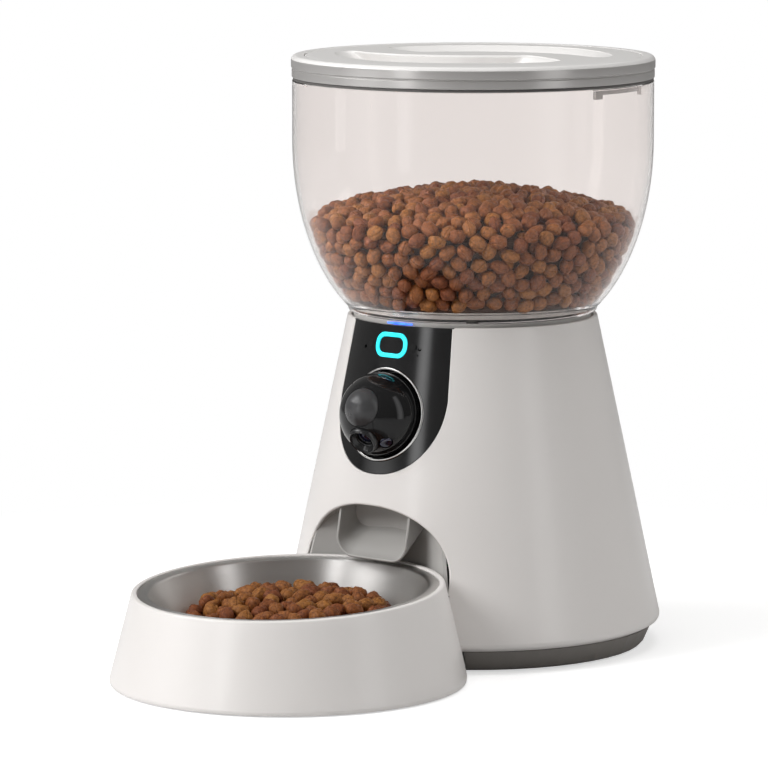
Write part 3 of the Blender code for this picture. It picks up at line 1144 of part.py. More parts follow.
def steel_bowl():
    """Pressed steel bowl with a flat flange, and the food heaped in it."""
    inside = bowl_inside()
    outside = offset_outwards(inside, -BOWL_STEEL)[::-1]
    outside[0] = (0, inside[-1][1] - BOWL_STEEL)
    make("steel_bowl", turned(inside + outside, lean=bowl_lean), steel, bowl_axis)
    peak_z = HOLDER_HEIGHT - HEAP_PEAK_DROP
    edge_z = HOLDER_HEIGHT - HEAP_EDGE_DROP
    wall = [point for point in offset_outwards(inside, HEAP_GAP) if point[1] < edge_z]
    wall[-1] = (0, wall[-1][1])
    edge_r = bowl_mouth_r() - BOWL_WALL_DRAFT - HEAP_GAP
    crown = []
    for step in range(ARC_STEPS + 1):
        share = step / ARC_STEPS
        crown.append((edge_r * share, peak_z - (peak_z - edge_z) * share ** 2))
    make("bowl_kibble", turned(crown + wall, HEAP_TURN_STEPS, bowl_lean), food, bowl_axis)


tower_shell()
base_cover()
battery_bay()
speaker_and_inlet()
niche_liner()
chute()
deck()
gear_train()
rotor()
hopper()
lid()
front_panel()
camera_mount()
camera_ball()
bowl_holder()
steel_bowl()
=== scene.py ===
"""Looks of a table-top pet feeder: a white conical tower with a clear hopper, a ball camera in a black
panel, and a steel bowl in a tilted white holder. All lengths are metres, Z is up, the bowl faces -Y.
"""
import math

import bmesh
import bpy
from mathutils import Euler, Matrix, Vector


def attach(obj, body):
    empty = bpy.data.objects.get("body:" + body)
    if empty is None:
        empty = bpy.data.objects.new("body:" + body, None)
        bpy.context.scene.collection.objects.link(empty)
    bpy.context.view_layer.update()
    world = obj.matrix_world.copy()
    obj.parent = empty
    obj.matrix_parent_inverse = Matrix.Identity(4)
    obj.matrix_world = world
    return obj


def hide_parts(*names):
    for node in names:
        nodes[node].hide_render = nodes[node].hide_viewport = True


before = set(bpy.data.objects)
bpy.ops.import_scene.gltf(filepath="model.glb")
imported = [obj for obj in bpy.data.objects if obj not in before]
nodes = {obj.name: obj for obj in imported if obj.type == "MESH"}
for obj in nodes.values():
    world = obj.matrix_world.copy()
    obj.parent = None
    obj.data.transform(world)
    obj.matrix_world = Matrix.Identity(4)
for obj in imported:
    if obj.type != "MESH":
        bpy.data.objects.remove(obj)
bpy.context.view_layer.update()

# Tower shell
# One tall injection-moulded cone of warm white ABS with a satin skin. Its foot is rolled under, and the
# front is cut open for the black panel and for the arched niche where the bowl docks.
TOWER = Vector((0, 0.0818, 0))
SHELL_TOP_R = 0.0765
SHELL_TOP_Z = 0.2035
SHELL_FOOT_R = 0.116
SHELL_FOOT_Z = 0.0185
SHELL_BOTTOM_Z = 0.0135
SHELL_WALL = 0.0025
ARCH_HALF_WIDTH = 0.0565
ARCH_SPRING_Z = 0.050
ARCH_TOP_Z = 0.0963
PANEL_HALF_WIDTH = 0.041
PANEL_TOP_HALF_WIDTH = 0.0375
PANEL_SPRING_Z = 0.160
PANEL_BOTTOM_Z = 0.1153
BOWL = Vector((0, -0.0917, 0))
HOLDER_FOOT_R = 0.1061
HOLDER_RIM_R = 0.0926
HOLDER_HEIGHT = 0.0572
DOCK_GAP = 0.0008


def cone_radius(height, inset=0.0):
    share = (SHELL_TOP_Z - height) / (SHELL_TOP_Z - SHELL_FOOT_Z)
    return SHELL_TOP_R + (SHELL_FOOT_R - SHELL_TOP_R) * share - inset


def holder_radius(height):
    return HOLDER_FOOT_R + (HOLDER_RIM_R - HOLDER_FOOT_R) * height / HOLDER_HEIGHT


def rounded(corners, steps=5):
    """Close an outline of (radius, height, corner rounding) points, each corner turned to a small arc."""
    points = []
    for index, (r, z, size) in enumerate(corners):
        if size == 0:
            points.append((r, z))
            continue
        here = Vector((r, z))
        start = Vector(corners[index - 1][:2]) - here
        end = Vector(corners[(index + 1) % len(corners)][:2]) - here
        start = here + start.normalized() * min(size, start.length * 0.45)
        end = here + end.normalized() * min(size, end.length * 0.45)
        for step in range(steps + 1):
            share = step / steps
            point = start * (1 - share) ** 2 + here * 2 * share * (1 - share) + end * share ** 2
            points.append(tuple(point))
    return points


def spaced(points, gap):
    """Add points so that no straight run of the outline is longer than gap."""
    made = []
    for index, point in enumerate(points):
        after = points[(index + 1) % len(points)]
        run = math.dist(point, after)
        count = max(1, math.ceil(run / gap))
        for step in range(count):
            share = step / count
            made.append((point[0] + (after[0] - point[0]) * share, point[1]
                         + (after[1] - point[1]) * share))
    return made


def skinned(name, rings, closed=False, place=None, angle=32):
    """Skin rings of points into a closed piece. place is a matrix that puts it where it belongs."""
    shape = bmesh.new()
    rows = [[shape.verts.new(place @ Vector(p) if place else p) for p in ring] for ring in rings]
    pairs = list(zip(rows, rows[1:])) + ([(rows[-1], rows[0])] if closed else [])
    for low, high in pairs:
        count = max(len(low), len(high))
        for step in range(count if count > 1 else 0):
            after = (step + 1) % count
            corners = [low[step % len(low)], low[after % len(low)], high[after % len(high)],
                       high[step % len(high)]]
            shape.faces.new(list(dict.fromkeys(corners)))
    if not closed:
        for row in (rows[0], rows[-1]):
            if len(row) > 2:
                shape.faces.new(row)
    bmesh.ops.recalc_face_normals(shape, faces=shape.faces)
    mesh = bpy.data.meshes.new(name)
    shape.to_mesh(mesh)
    shape.free()
    piece = bpy.data.objects.new(name, mesh)
    bpy.context.scene.collection.objects.link(piece)
    soften(piece, angle)
    return piece


def soften(piece, angle=32):
    """Shade smooth, with sharp edges kept only where the surface really turns."""
    piece.data.shade_smooth()
    piece.data.set_sharp_from_angle(angle=math.radians(angle))


def turned(name, outline, place=None, steps=192, lean=None, angle=32):
    """Turn a closed outline about Z. lean gives, for a height, how far it tips along Y."""
    rings = []
    for r, z in outline:
        count = steps if r > 0 else 1
        ring = []
        for step in range(count):
            turn = 2 * math.pi * step / steps
            y = r * math.sin(turn)
            ring.append((r * math.cos(turn), y, z + y * lean(z) if lean else z))
        rings.append(ring)
    return skinned(name, rings, True, place, angle)


def settle(piece, angle=32):
    """Turn a piece with modifiers into a plain mesh."""
    bpy.context.view_layer.update()
    evaluated = piece.evaluated_get(bpy.context.evaluated_depsgraph_get())
    mesh = bpy.data.meshes.new_from_object(evaluated)
    piece.modifiers.clear()
    old = piece.data
    piece.data = mesh
    bpy.data.meshes.remove(old)
    soften(piece, angle)
    return piece


def carve(piece, body, operation="DIFFERENCE", angle=32):
    """Cut piece with body, or join or trim it, and throw body away."""
    change = piece.modifiers.new("carve", "BOOLEAN")
    change.operation = operation
    change.solver = "EXACT"
    change.object = body
    settle(piece, angle)
    bpy.data.objects.remove(body, do_unlink=True)
    return piece


def merged(name, parts):
    """Make several parts one piece, with the materials and attributes that they have."""
    with bpy.context.temp_override(active_object=parts[0], object=parts[0], selected_editable_objects=parts,
                                   selected_objects=parts):
        bpy.ops.object.join()
    parts[0].name = parts[0].data.name = name
    return parts[0]


def arch_outline(half_width, spring, top, foot_half, foot_z, steps=64):
    """Outline in X and Z of a superelliptic arch on straight legs. With top below spring it hangs down."""
    points = [(foot_half, foot_z)]
    for step in range(steps + 1):
        turn = math.pi * step / steps
        across = math.copysign(abs(math.cos(turn)) ** (2 / 2.2), math.cos(turn))
        points.append((half_width * across, spring + (top - spring) * math.sin(turn) ** (2 / 2.2)))
    points.append((-foot_half, foot_z))
    return points


def through_front(name, outline, front, back):
    """Run an X and Z outline from y = -front to y = -back, counted from the tower's axis."""
    return skinned(name, [[(x, -reach, z) for x, z in outline] for reach in (front, back)],
                   place=Matrix.Translation(TOWER))


def on_cone(x, z, inset=0.0):
    """Point of the tower's front wall."""
    radius = cone_radius(z, inset)
    return Vector((x, -math.sqrt(radius * radius - x * x), z)) + TOWER


def cone_normal(point):
    """Outward direction of the tower's wall at a point."""
    away = Vector((point.x - TOWER.x, point.y - TOWER.y, 0)).normalized()
    slope = (SHELL_FOOT_R - SHELL_TOP_R) / (SHELL_TOP_Z - SHELL_FOOT_Z)
    return Vector((away.x, away.y, slope)).normalized()


def reshaded(piece, outward, least=0.985):
    """Give a skin the directions of its true surface, so that cuts leave no marks in its shine."""
    mesh = piece.data
    facing = [corner.vector.copy() for corner in mesh.corner_normals]
    for face in mesh.polygons:
        for corner in face.loop_indices:
            true = outward(mesh.vertices[mesh.loops[corner].vertex_index].co)
            if abs(face.normal.dot(true)) > least:
                facing[corner] = true if face.normal.dot(true) > 0 else -true
    mesh.normals_split_custom_set(facing)
    return piece


def rolled_edge(name, path, radius, sides=16):
    """Half-round edge of a cut in the wall: a bead that follows the cut and touches the outer skin."""
    rings = []
    for index, point in enumerate(path):
        along = (path[min(index + 1, len(path) - 1)] - path[max(index - 1, 0)]).normalized()
        out = cone_normal(point)
        side = out.cross(along).normalized()
        centre = point - out * radius
        rings.append([centre + out * radius * math.cos(t) + side * radius * math.sin(t)
                      for t in (2 * math.pi * s / sides for s in range(sides))])
    return skinned(name, rings, angle=60)


def node_material(name):
    """Start a material. Returns it with its tree, its Principled shader and its Object coordinates."""
    look = bpy.data.materials.new(name)
    look.use_nodes = True
    tree = look.node_tree
    shader = tree.nodes["Principled BSDF"]
    where = tree.nodes.new("ShaderNodeTexCoord").outputs["Object"]
    return look, tree, shader, where


def noise(tree, where, scale, detail=3.0, roughness=0.5):
    """Noise on the piece, and the socket that it comes out of."""
    made = tree.nodes.new("ShaderNodeTexNoise")
    made.inputs["Scale"].default_value = scale
    made.inputs["Detail"].default_value = detail
    made.inputs["Roughness"].default_value = roughness
    tree.links.new(where, made.inputs["Vector"])
    return made.outputs["Fac"]


def ramp(tree, source, stops):
    """Colour ramp from stops of (place, colour)."""
    made = tree.nodes.new("ShaderNodeValToRGB")
    made.color_ramp.elements[0].position = stops[0][0]
    made.color_ramp.elements[0].color = (*stops[0][1], 1)
    made.color_ramp.elements[1].position = stops[-1][0]
    made.color_ramp.elements[1].color = (*stops[-1][1], 1)
    for place, colour in stops[1:-1]:
        made.color_ramp.elements.new(place).color = (*colour, 1)
    tree.links.new(source, made.inputs["Fac"])
    return made.outputs["Color"]


def spread(tree, source, low, high, start=0.3, end=0.7):
    """Map a 0 to 1 socket to a range of values."""
    made = tree.nodes.new("ShaderNodeMapRange")
    made.inputs["From Min"].default_value = start
    made.inputs["From Max"].default_value = end
    made.inputs["To Min"].default_value = low
    made.inputs["To Max"].default_value = high
    tree.links.new(source, made.inputs["Value"])
    return made.outputs["Result"]


def bump(tree, shader, height, distance, strength=1.0):
    """Raise the surface by a height socket, in metres."""
    made = tree.nodes.new("ShaderNodeBump")
    made.inputs["Strength"].default_value = strength
    made.inputs["Distance"].default_value = distance
    tree.links.new(height, made.inputs["Height"])
    tree.links.new(made.outputs["Normal"], shader.inputs["Normal"])
    return made


def moulded(name, light, dark, rough_low, rough_high, grain, depth, coat=0.0):
    """Moulded plastic: a faint cloud in its colour, a finer one in its gloss, and its mould's grain."""
    look, tree, shader, where = node_material(name)
    tree.links.new(ramp(tree, noise(tree, where, 9.0, 4.0), [(0.35, dark), (0.65, light)]),
                   shader.inputs["Base Color"])
    tree.links.new(spread(tree, noise(tree, where, 55.0, 5.0, 0.6), rough_low, rough_high),
                   shader.inputs["Roughness"])
    bump(tree, shader, noise(tree, where, grain, 2.0), depth)
    shader.inputs["Coat Weight"].default_value = coat
    shader.inputs["Coat Roughness"].default_value = 0.12
    return look


white_abs = moulded("satin_white_abs", (0.82, 0.79, 0.77), (0.81, 0.78, 0.76), 0.30, 0.35, 2600.0, 0.000006,
                    0.28)
outline = spaced(rounded([(SHELL_TOP_R, SHELL_TOP_Z, 0.0008), (SHELL_FOOT_R, SHELL_FOOT_Z, 0.0),
                          (SHELL_FOOT_R - 0.0003, 0.0160, 0.0016),
                          (SHELL_FOOT_R - 0.005, SHELL_BOTTOM_Z, 0.0035),
                          (SHELL_FOOT_R - 0.0055, SHELL_BOTTOM_Z, 0.0),
                          (SHELL_FOOT_R - 0.0055, 0.0158, 0.0),
                          (SHELL_FOOT_R - SHELL_WALL, SHELL_FOOT_Z, 0.0),
                          (SHELL_TOP_R - SHELL_WALL, SHELL_TOP_Z, 0.0008)]), 0.006)
tower_shell = turned("tower_shell_skin", outline, Matrix.Translation(TOWER), 240)
EDGE_R = SHELL_WALL / 2
arch = arch_outline(ARCH_HALF_WIDTH + EDGE_R, ARCH_SPRING_Z, ARCH_TOP_Z + EDGE_R, ARCH_HALF_WIDTH + EDGE_R,
                    0.044)
carve(tower_shell, through_front("arch_cut", arch, 0.12, 0.05))
dock = [(0, -0.01), (holder_radius(-0.01) + DOCK_GAP, -0.01), (holder_radius(0.060) + DOCK_GAP, 0.060),
        (0, 0.060)]
carve(tower_shell, turned("dock_cut", dock, Matrix.Translation(BOWL), 192))
PANEL_EDGE_R = 0.0006
panel_cut = arch_outline(PANEL_HALF_WIDTH + PANEL_EDGE_R + 0.0003, PANEL_SPRING_Z,
                         PANEL_BOTTOM_Z - PANEL_EDGE_R - 0.0003, PANEL_TOP_HALF_WIDTH + PANEL_EDGE_R
                         + 0.0003, 0.208)
carve(tower_shell, through_front("panel_cut", panel_cut, 0.12, 0.03))
inlet_hole = turned("inlet_hole", [(0, 0), (0.0058, 0), (0.0058, 0.12), (0, 0.12)],
                    Matrix.Translation(TOWER + Vector((0, 0.05, 0.030)))
                    @ Euler((-math.pi / 2, 0, 0)).to_matrix().to_4x4(), 48)
carve(tower_shell, inlet_hole)
reshaded(tower_shell, cone_normal)
arch_path = [on_cone(x, z) for x, z in arch_outline(ARCH_HALF_WIDTH + EDGE_R, ARCH_SPRING_Z, ARCH_TOP_Z
                                                    + EDGE_R,
                                                    ARCH_HALF_WIDTH + EDGE_R, 0.047, 120)]
panel_path = [on_cone(x, min(z, SHELL_TOP_Z - 0.0006)) for x, z in arch_outline(
    PANEL_HALF_WIDTH + PANEL_EDGE_R + 0.0003, PANEL_SPRING_Z, PANEL_BOTTOM_Z - PANEL_EDGE_R - 0.0003,
    PANEL_TOP_HALF_WIDTH + PANEL_EDGE_R + 0.0003, SHELL_TOP_Z, 120)]
tower_shell = merged("tower_shell_skin", [tower_shell, rolled_edge("arch_edge", arch_path, EDGE_R),
                                          rolled_edge("panel_edge", panel_path, PANEL_EDGE_R)])
tower_shell.data.materials.append(white_abs)
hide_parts("tower_shell")
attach(tower_shell, "root")

# Base cover, battery door, feet and screws
# A shallow tray of dark grey ABS with a fine spark-eroded texture closes the tower from below. Rubber
# feet are pressed into it, and four screws hold it. The battery door clips into its floor.
base_grey = moulded("textured_grey_abs", (0.20, 0.185, 0.17), (0.17, 0.157, 0.145), 0.40, 0.52, 1500.0,
                    0.00004)
for name in ("base_cover", "battery_door", "battery_box", "speaker", "power_inlet"):
    nodes[name].data.materials[0] = base_grey
rubber, tree, shader, where = node_material("black_rubber")
tree.links.new(ramp(tree, noise(tree, where, 900.0, 2.0),
                    [(0.4, (0.018, 0.018, 0.018)), (0.75, (0.045, 0.044, 0.042))]),
               shader.inputs["Base Color"])
shader.inputs["Roughness"].default_value = 0.78
bump(tree, shader, noise(tree, where, 1800.0), 0.00005)
for name in ("rubber_foot_1", "rubber_foot_2", "rubber_foot_3", "rubber_foot_4"):
    nodes[name].data.materials[0] = rubber
zinc, tree, shader, where = node_material("zinc_plated_steel")
shader.inputs["Metallic"].default_value = 1.0
tree.links.new(ramp(tree, noise(tree, where, 260.0, 4.0),
                    [(0.35, (0.42, 0.42, 0.40)), (0.7, (0.62, 0.62, 0.60))]),
               shader.inputs["Base Color"])
tree.links.new(spread(tree, noise(tree, where, 700.0), 0.25, 0.5), shader.inputs["Roughness"])
for name in ("base_screw_1", "base_screw_2", "base_screw_3", "base_screw_4", "feed_motor"):
    nodes[name].data.materials[0] = zinc

# Battery, speaker and boards
# Three wrapped cells lie side by side in a bay on the base. The green glass-fibre board sits on the bay,
# and its tracks show faintly through the lacquer.
cell_wrap = moulded("shrink_wrapped_cell", (0.15, 0.16, 0.19), (0.12, 0.13, 0.15), 0.28, 0.42, 500.0,
                    0.00003)
for name in ("battery_cell_1", "battery_cell_2", "battery_cell_3"):
    nodes[name].data.materials[0] = cell_wrap
board_green, tree, shader, where = node_material("lacquered_circuit_board")
tracks = tree.nodes.new("ShaderNodeTexBrick")
tracks.inputs["Scale"].default_value = 190.0
tracks.inputs["Mortar Size"].default_value = 0.09
tracks.inputs["Color1"].default_value = (0.012, 0.115, 0.045, 1)
tracks.inputs["Color2"].default_value = (0.016, 0.135, 0.055, 1)
tracks.inputs["Mortar"].default_value = (0.03, 0.20, 0.08, 1)
tree.links.new(where, tracks.inputs["Vector"])
tree.links.new(tracks.outputs["Color"], shader.inputs["Base Color"])
shader.inputs["Roughness"].default_value = 0.35
for name in ("main_board", "button_board"):
    nodes[name].data.materials[0] = board_green

# Docking niche
# A separate liner of off-white ABS closes the arch from inside; its colour is darkened to paint the shade
# in the niche. Its back wall follows the bowl's rim and its lower part follows the holder's wall, so that
# the bowl slides in with a small gap.
LINER_WALL = 0.002
NICHE_REACH = 0.0966
HOLDER_TOP_Z = HOLDER_HEIGHT + 0.004


def niche_space(grow, low):
    """The space that the bowl docks in, or with grow the outside of its liner."""
    arch_shape = arch_outline(ARCH_HALF_WIDTH - 0.0005 + grow, ARCH_SPRING_Z, ARCH_TOP_Z + grow,
                              ARCH_HALF_WIDTH - 0.0005 + grow, ARCH_SPRING_Z - 0.003, 48)
    vault = through_front("niche_vault", arch_shape, 0.12, 0.058)
    reach = NICHE_REACH + grow
    carve(vault, turned("niche_back", [(0, 0), (reach, 0), (reach, 0.19), (0, 0.19)],
                        Matrix.Translation(BOWL)),
          "INTERSECT")
    high = HOLDER_TOP_Z + grow
    cone = [(0, low), (holder_radius(low) + DOCK_GAP + grow, low),
            (holder_radius(high) + DOCK_GAP + grow, high), (0, high)]
    return carve(vault, turned("niche_cone", cone, Matrix.Translation(BOWL)), "UNION")


def behind_wall(name, inset):
    """The tower's inside, to trim a piece that must stay behind its wall."""
    profile = [(0, 0.0045), (0.1107, 0.0045), (0.1107, 0.016), (SHELL_FOOT_R - inset, SHELL_FOOT_Z),
               (SHELL_TOP_R - inset, SHELL_TOP_Z), (0, SHELL_TOP_Z)]
    return turned(name, profile, Matrix.Translation(TOWER), 144)


def chute_ring(reach, height, lean, half, grow, steps=8):
    """One section of the chute: a rounded oblong with deep lower corners."""
    along_y, along_z = math.cos(math.radians(lean)), math.sin(math.radians(lean))
    ring = []
    for side_x, side_s, size in ((1, -1, 0.0125), (1, 1, 0.004), (-1, 1, 0.004), (-1, -1, 0.0125)):
        centre_x = side_x * (CHUTE_HALF_WIDTH - size)
        centre_s = side_s * (half - size)
        start = {(1, -1): -90, (1, 1): 0, (-1, 1): 90, (-1, -1): 180}[(side_x, side_s)]
        for step in range(steps + 1):
            turn = math.radians(start + 90 * step / steps)
            x = centre_x + (size + grow) * math.cos(turn)
            s = centre_s + (size + grow) * math.sin(turn)
            z = height + s * along_z
            ring.append([x, -reach + s * along_y, z])
    return ring


CHUTE_HALF_WIDTH = 0.0277
CHUTE_WALL = 0.0018
CHUTE_STATIONS = ((0.0963, 0.08185, 90, 0.01925), (0.066, 0.10552, 90, 0.01925),
                  (0.043, 0.128, 135, 0.018375),
                  (0.0345, 0.152, 180, 0.0175), (0.0345, 0.1982, 180, 0.0175))


def chute_stations(ahead=0.0):
    """Stations along the duct, eased through its bend."""
    first = CHUTE_STATIONS[0]
    slope = math.tan(math.radians(38))
    stations = [(first[0] + ahead, first[1] - ahead * slope, *first[2:])] + list(CHUTE_STATIONS[1:])
    eased = [stations[0]]
    for index in range(1, len(stations)):
        before, start = stations[max(index - 2, 0)], stations[index - 1]
        end, after = stations[index], stations[min(index + 1, len(stations) - 1)]
        for step in range(1, 7):
            t = step / 6
            eased.append(tuple(0.5 * (2 * b + (c - a) * t + (2 * a - 5 * b + 4 * c - d) * t ** 2
                                      + (3 * b - a - 3 * c + d) * t ** 3)
                               for a, b, c, d in zip(before, start, end, after)))
    return eased


niche = carve(niche_space(LINER_WALL, 0.0045), behind_wall("liner_trim", 0.0014), "INTERSECT")
carve(niche, niche_space(0.0, -0.004))
passage = skinned("chute_passage", [chute_ring(*station, 0.0003) for station in chute_stations(0.008)])
carve(niche, passage)
niche.name = niche.data.name = "niche_liner_skin"
# Off-white darkened to a light grey: painted shade for the inside of the niche. The deck and the hopper's floor
# share it.
liner_white_painted_shade = moulded("matt_off_white_abs_painted_shade", (0.47, 0.46, 0.445), (0.44, 0.43, 0.415), 0.48, 0.60, 1800.0,
                      0.00003)
niche.data.materials.append(liner_white_painted_shade)
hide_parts("niche_liner")
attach(niche, "root")

# Food chute
# A smooth duct in two welded halves. It drops from the hopper's outlet, bends forward and ends in a thin
# rounded lip over the bowl's rim.
rings = [chute_ring(*station, 0.0) for station in chute_stations()[::-1]]
reach, height, lean, half = CHUTE_STATIONS[0]
for step in range(1, 8):
    turn = math.pi * step / 8
    rings.append(chute_ring(reach + 0.0009 * math.sin(turn), height, lean, half,
                            -CHUTE_WALL * (1 - math.cos(turn)) / 2))
rings += [chute_ring(*station, -CHUTE_WALL) for station in chute_stations()]
for ring in rings:
    for point in ring:
        limit = math.sqrt(max(cone_radius(point[2], 0.0029) ** 2 - point[0] ** 2, 0.0))
        point[1] = max(point[1], -limit)
chute = skinned("food_chute_skin", rings, True, Matrix.Translation(TOWER), 50)
# Off-white darkened to a grey: painted shade for the inside of the niche.
chute_white_painted_shade = moulded("satin_chute_abs_painted_shade", (0.42, 0.41, 0.395), (0.39, 0.38, 0.365), 0.34, 0.44, 1800.0,
                      0.00002)
chute.data.materials.append(chute_white_painted_shade)
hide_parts("food_chute")
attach(chute, "root")

# Deck, gear train and feeding rotor
# The deck closes the tower's top and carries the hopper. Nylon gears run in a moulded case under it, and
# a soft silicone rotor turns over the outlet.
nodes["hopper_deck"].data.materials[0] = liner_white_painted_shade
nylon = moulded("milky_nylon", (0.66, 0.65, 0.59), (0.60, 0.59, 0.53), 0.38, 0.5, 900.0, 0.00002)
for name in ("gear_housing", "drive_gear", "motor_pinion", "pan_block"):
    nodes[name].data.materials[0] = nylon
silicone = moulded("grey_silicone", (0.12, 0.115, 0.11), (0.095, 0.09, 0.087), 0.58, 0.72, 1200.0, 0.00003)
for name in ("feed_rotor", "lid_seal"):
    nodes[name].data.materials[0] = silicone

# Front panel, light ring and button
# One curved panel of high-gloss black acrylic is set flush into the tower. A cyan light guide frames the
# button, and a microphone hole and a small status lamp sit beside it.
PANEL_INSET = 0.0004
PANEL_THICKNESS = 0.0021
BUTTON_Z = 0.1916
RING_HALF_WIDTH = 0.01185
RING_HALF_HEIGHT = 0.00755
RING_BAND = 0.0025
RING_CORNER_R = 0.0066
WALL_LEAN = math.atan2(SHELL_FOOT_R - SHELL_TOP_R, SHELL_TOP_Z - SHELL_FOOT_Z)
CAMERA_CENTRE = TOWER + Vector((0, -0.0873, 0.1504))
OUT_OF_WALL = Euler((math.pi / 2 - WALL_LEAN, 0, 0)).to_matrix().to_4x4()


def cone_sheet(name, inset, thickness, low=0.105, high=SHELL_TOP_Z - 0.0003):
    """A curved sheet that follows the tower's wall."""
    profile = spaced([(cone_radius(low, inset), low), (cone_radius(high, inset), high),
                      (cone_radius(high, inset + thickness), high),
                      (cone_radius(low, inset + thickness), low)], 0.01)
    return turned(name, profile, Matrix.Translation(TOWER), 240)


def oblong(half_width, half_height, size, steps=12):
    """Rounded oblong outline."""
    points = []
    for quarter, (sx, sy) in enumerate(((1, 1), (-1, 1), (-1, -1), (1, -1))):
        for step in range(steps + 1):
            turn = math.radians(90 * quarter + 90 * step / steps)
            points.append((sx * (half_width - size) + size * math.cos(turn),
                           sy * (half_height - size) + size * math.sin(turn)))
    return points


def through_wall(name, outline, x, z, depth=0.006):
    """Run an outline through the wall, square to it, at a place on the tower's front."""
    place = Matrix.Translation(TOWER + Vector((x, -cone_radius(z), z))) @ OUT_OF_WALL
    return skinned(name, [[(px, py, level) for px, py in outline] for level in (-depth, depth)],
                   place=place)


def round_outline(radius, steps=48):
    return [(radius * math.cos(2 * math.pi * s / steps), radius * math.sin(2 * math.pi * s / steps))
            for s in range(steps)]


def bevelled(piece, width, segments=2, angle=40):
    """Round the sharp edges of a piece."""
    edge = piece.modifiers.new("edge", "BEVEL")
    edge.width = width
    edge.segments = segments
    edge.limit_method = "ANGLE"
    edge.angle_limit = math.radians(angle)
    return settle(piece)


panel = cone_sheet("front_panel_skin", PANEL_INSET, PANEL_THICKNESS)
panel_shape = arch_outline(PANEL_HALF_WIDTH, PANEL_SPRING_Z, PANEL_BOTTOM_Z, PANEL_TOP_HALF_WIDTH, 0.210)
carve(panel, through_front("panel_shape", panel_shape, 0.12, 0.038), "INTERSECT")
camera_hole = skinned("camera_hole", [[(px, py, level) for px, py in round_outline(0.0288, 128)]
                                      for level in (-0.03, 0.03)],
                      place=Matrix.Translation(CAMERA_CENTRE) @ OUT_OF_WALL)
carve(panel, camera_hole)
carve(panel, through_wall("ring_seat", oblong(RING_HALF_WIDTH + 0.0003, RING_HALF_HEIGHT + 0.0003,
                                              RING_CORNER_R + 0.0003),
                          0, BUTTON_Z))
carve(panel, through_wall("microphone_hole", round_outline(0.0011, 24), -0.0214, 0.1895))
carve(panel, through_wall("status_lamp_hole", round_outline(0.0011, 24), 0.0205, 0.1908))
carve(panel, through_wall("reset_hole", round_outline(0.0005, 16), 0.0199, 0.1871))
bevelled(panel, 0.00035)
reshaded(panel, cone_normal)
posts = []
for side in (-1, 1):
    place = Matrix.Translation(TOWER + Vector((0, -cone_radius(BUTTON_Z), BUTTON_Z))) @ OUT_OF_WALL
    place = place @ Matrix.Translation((side * 0.0165, 0, 0))
    posts.append(turned("panel_post", [(0, -0.0092), (0.0022, -0.0092), (0.0022, -0.0015), (0, -0.0015)],
                        place, 24))
panel = merged("front_panel_skin", [panel] + posts)
gloss_black, tree, shader, where = node_material("gloss_black_acrylic")
tree.links.new(ramp(tree, noise(tree, where, 14.0, 3.0), [(0.3, (0.0055, 0.0055, 0.006)),
                                                          (0.7, (0.008, 0.008, 0.0085))]),
               shader.inputs["Base Color"])
tree.links.new(spread(tree, noise(tree, where, 130.0, 5.0, 0.65), 0.13, 0.17), shader.inputs["Roughness"])
shader.inputs["Coat Weight"].default_value = 0.25
shader.inputs["Coat Roughness"].default_value = 0.08
bump(tree, shader, noise(tree, where, 60.0, 1.0), 0.00002, 0.6)
panel.data.materials.append(gloss_black)
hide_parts("front_panel")
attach(panel, "root")

ring_piece = cone_sheet("light_ring_skin", 0.0002, 0.0024, 0.175)
carve(ring_piece, through_wall("ring_shape", oblong(RING_HALF_WIDTH, RING_HALF_HEIGHT, RING_CORNER_R), 0,
                               BUTTON_Z), "INTERSECT")
carve(ring_piece, through_wall("ring_inside", oblong(RING_HALF_WIDTH - RING_BAND,
                                                     RING_HALF_HEIGHT - RING_BAND,
                                                     RING_CORNER_R - RING_BAND), 0, BUTTON_Z))
bevelled(ring_piece, 0.0003)
cyan, tree, shader, where = node_material("lit_cyan_guide")
shader.inputs["Roughness"].default_value = 0.35
glow = ramp(tree, noise(tree, where, 160.0, 1.0), [(0.3, (0.012, 0.66, 0.78)), (0.7, (0.03, 0.76, 0.86))])
tree.links.new(glow, shader.inputs["Emission Color"])
tree.links.new(glow, shader.inputs["Base Color"])
shader.inputs["Emission Strength"].default_value = 0.9
ring_piece.data.materials.append(cyan)
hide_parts("light_ring")
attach(ring_piece, "root")

button = cone_sheet("feed_button_skin", 0.0007, 0.0024, 0.175)
carve(button, through_wall("button_shape", oblong(RING_HALF_WIDTH - RING_BAND - 0.0003,
                                                  RING_HALF_HEIGHT - RING_BAND - 0.0003,
                                                  RING_CORNER_R - RING_BAND - 0.0003), 0, BUTTON_Z),
      "INTERSECT")
bevelled(button, 0.0005, 3)
reshaded(button, cone_normal)
stem = turned("button_stem", [(0, -0.0036), (0.0015, -0.0036), (0.0015, -0.002), (0, -0.002)],
              Matrix.Translation(TOWER + Vector((0, -cone_radius(BUTTON_Z), BUTTON_Z))) @ OUT_OF_WALL, 24)
button = merged("feed_button_skin", [button, stem])
button.data.materials.append(gloss_black)
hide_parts("feed_button")
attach(button, "button")

lamp_lens = turned("status_lamp_lens", [(0, -0.0016), (0.001, -0.0016), (0.001, -0.0009), (0.0007, -0.0006),
                                        (0, -0.0005)],
                   Matrix.Translation(TOWER + Vector((0.0205,
                                                      -math.sqrt(cone_radius(0.1908) ** 2 - 0.0205 ** 2),
                                                      0.1908)))
                   @ Euler((math.pi / 2 - WALL_LEAN, 0,
                            math.asin(0.0205 / cone_radius(0.1908)))).to_matrix().to_4x4(), 24)
dark_lens = moulded("dark_lamp_lens", (0.012, 0.012, 0.014), (0.008, 0.008, 0.009), 0.08, 0.16, 800.0,
                    0.000004, 0.4)
lamp_lens.data.materials.append(dark_lens)
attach(lamp_lens, "root")

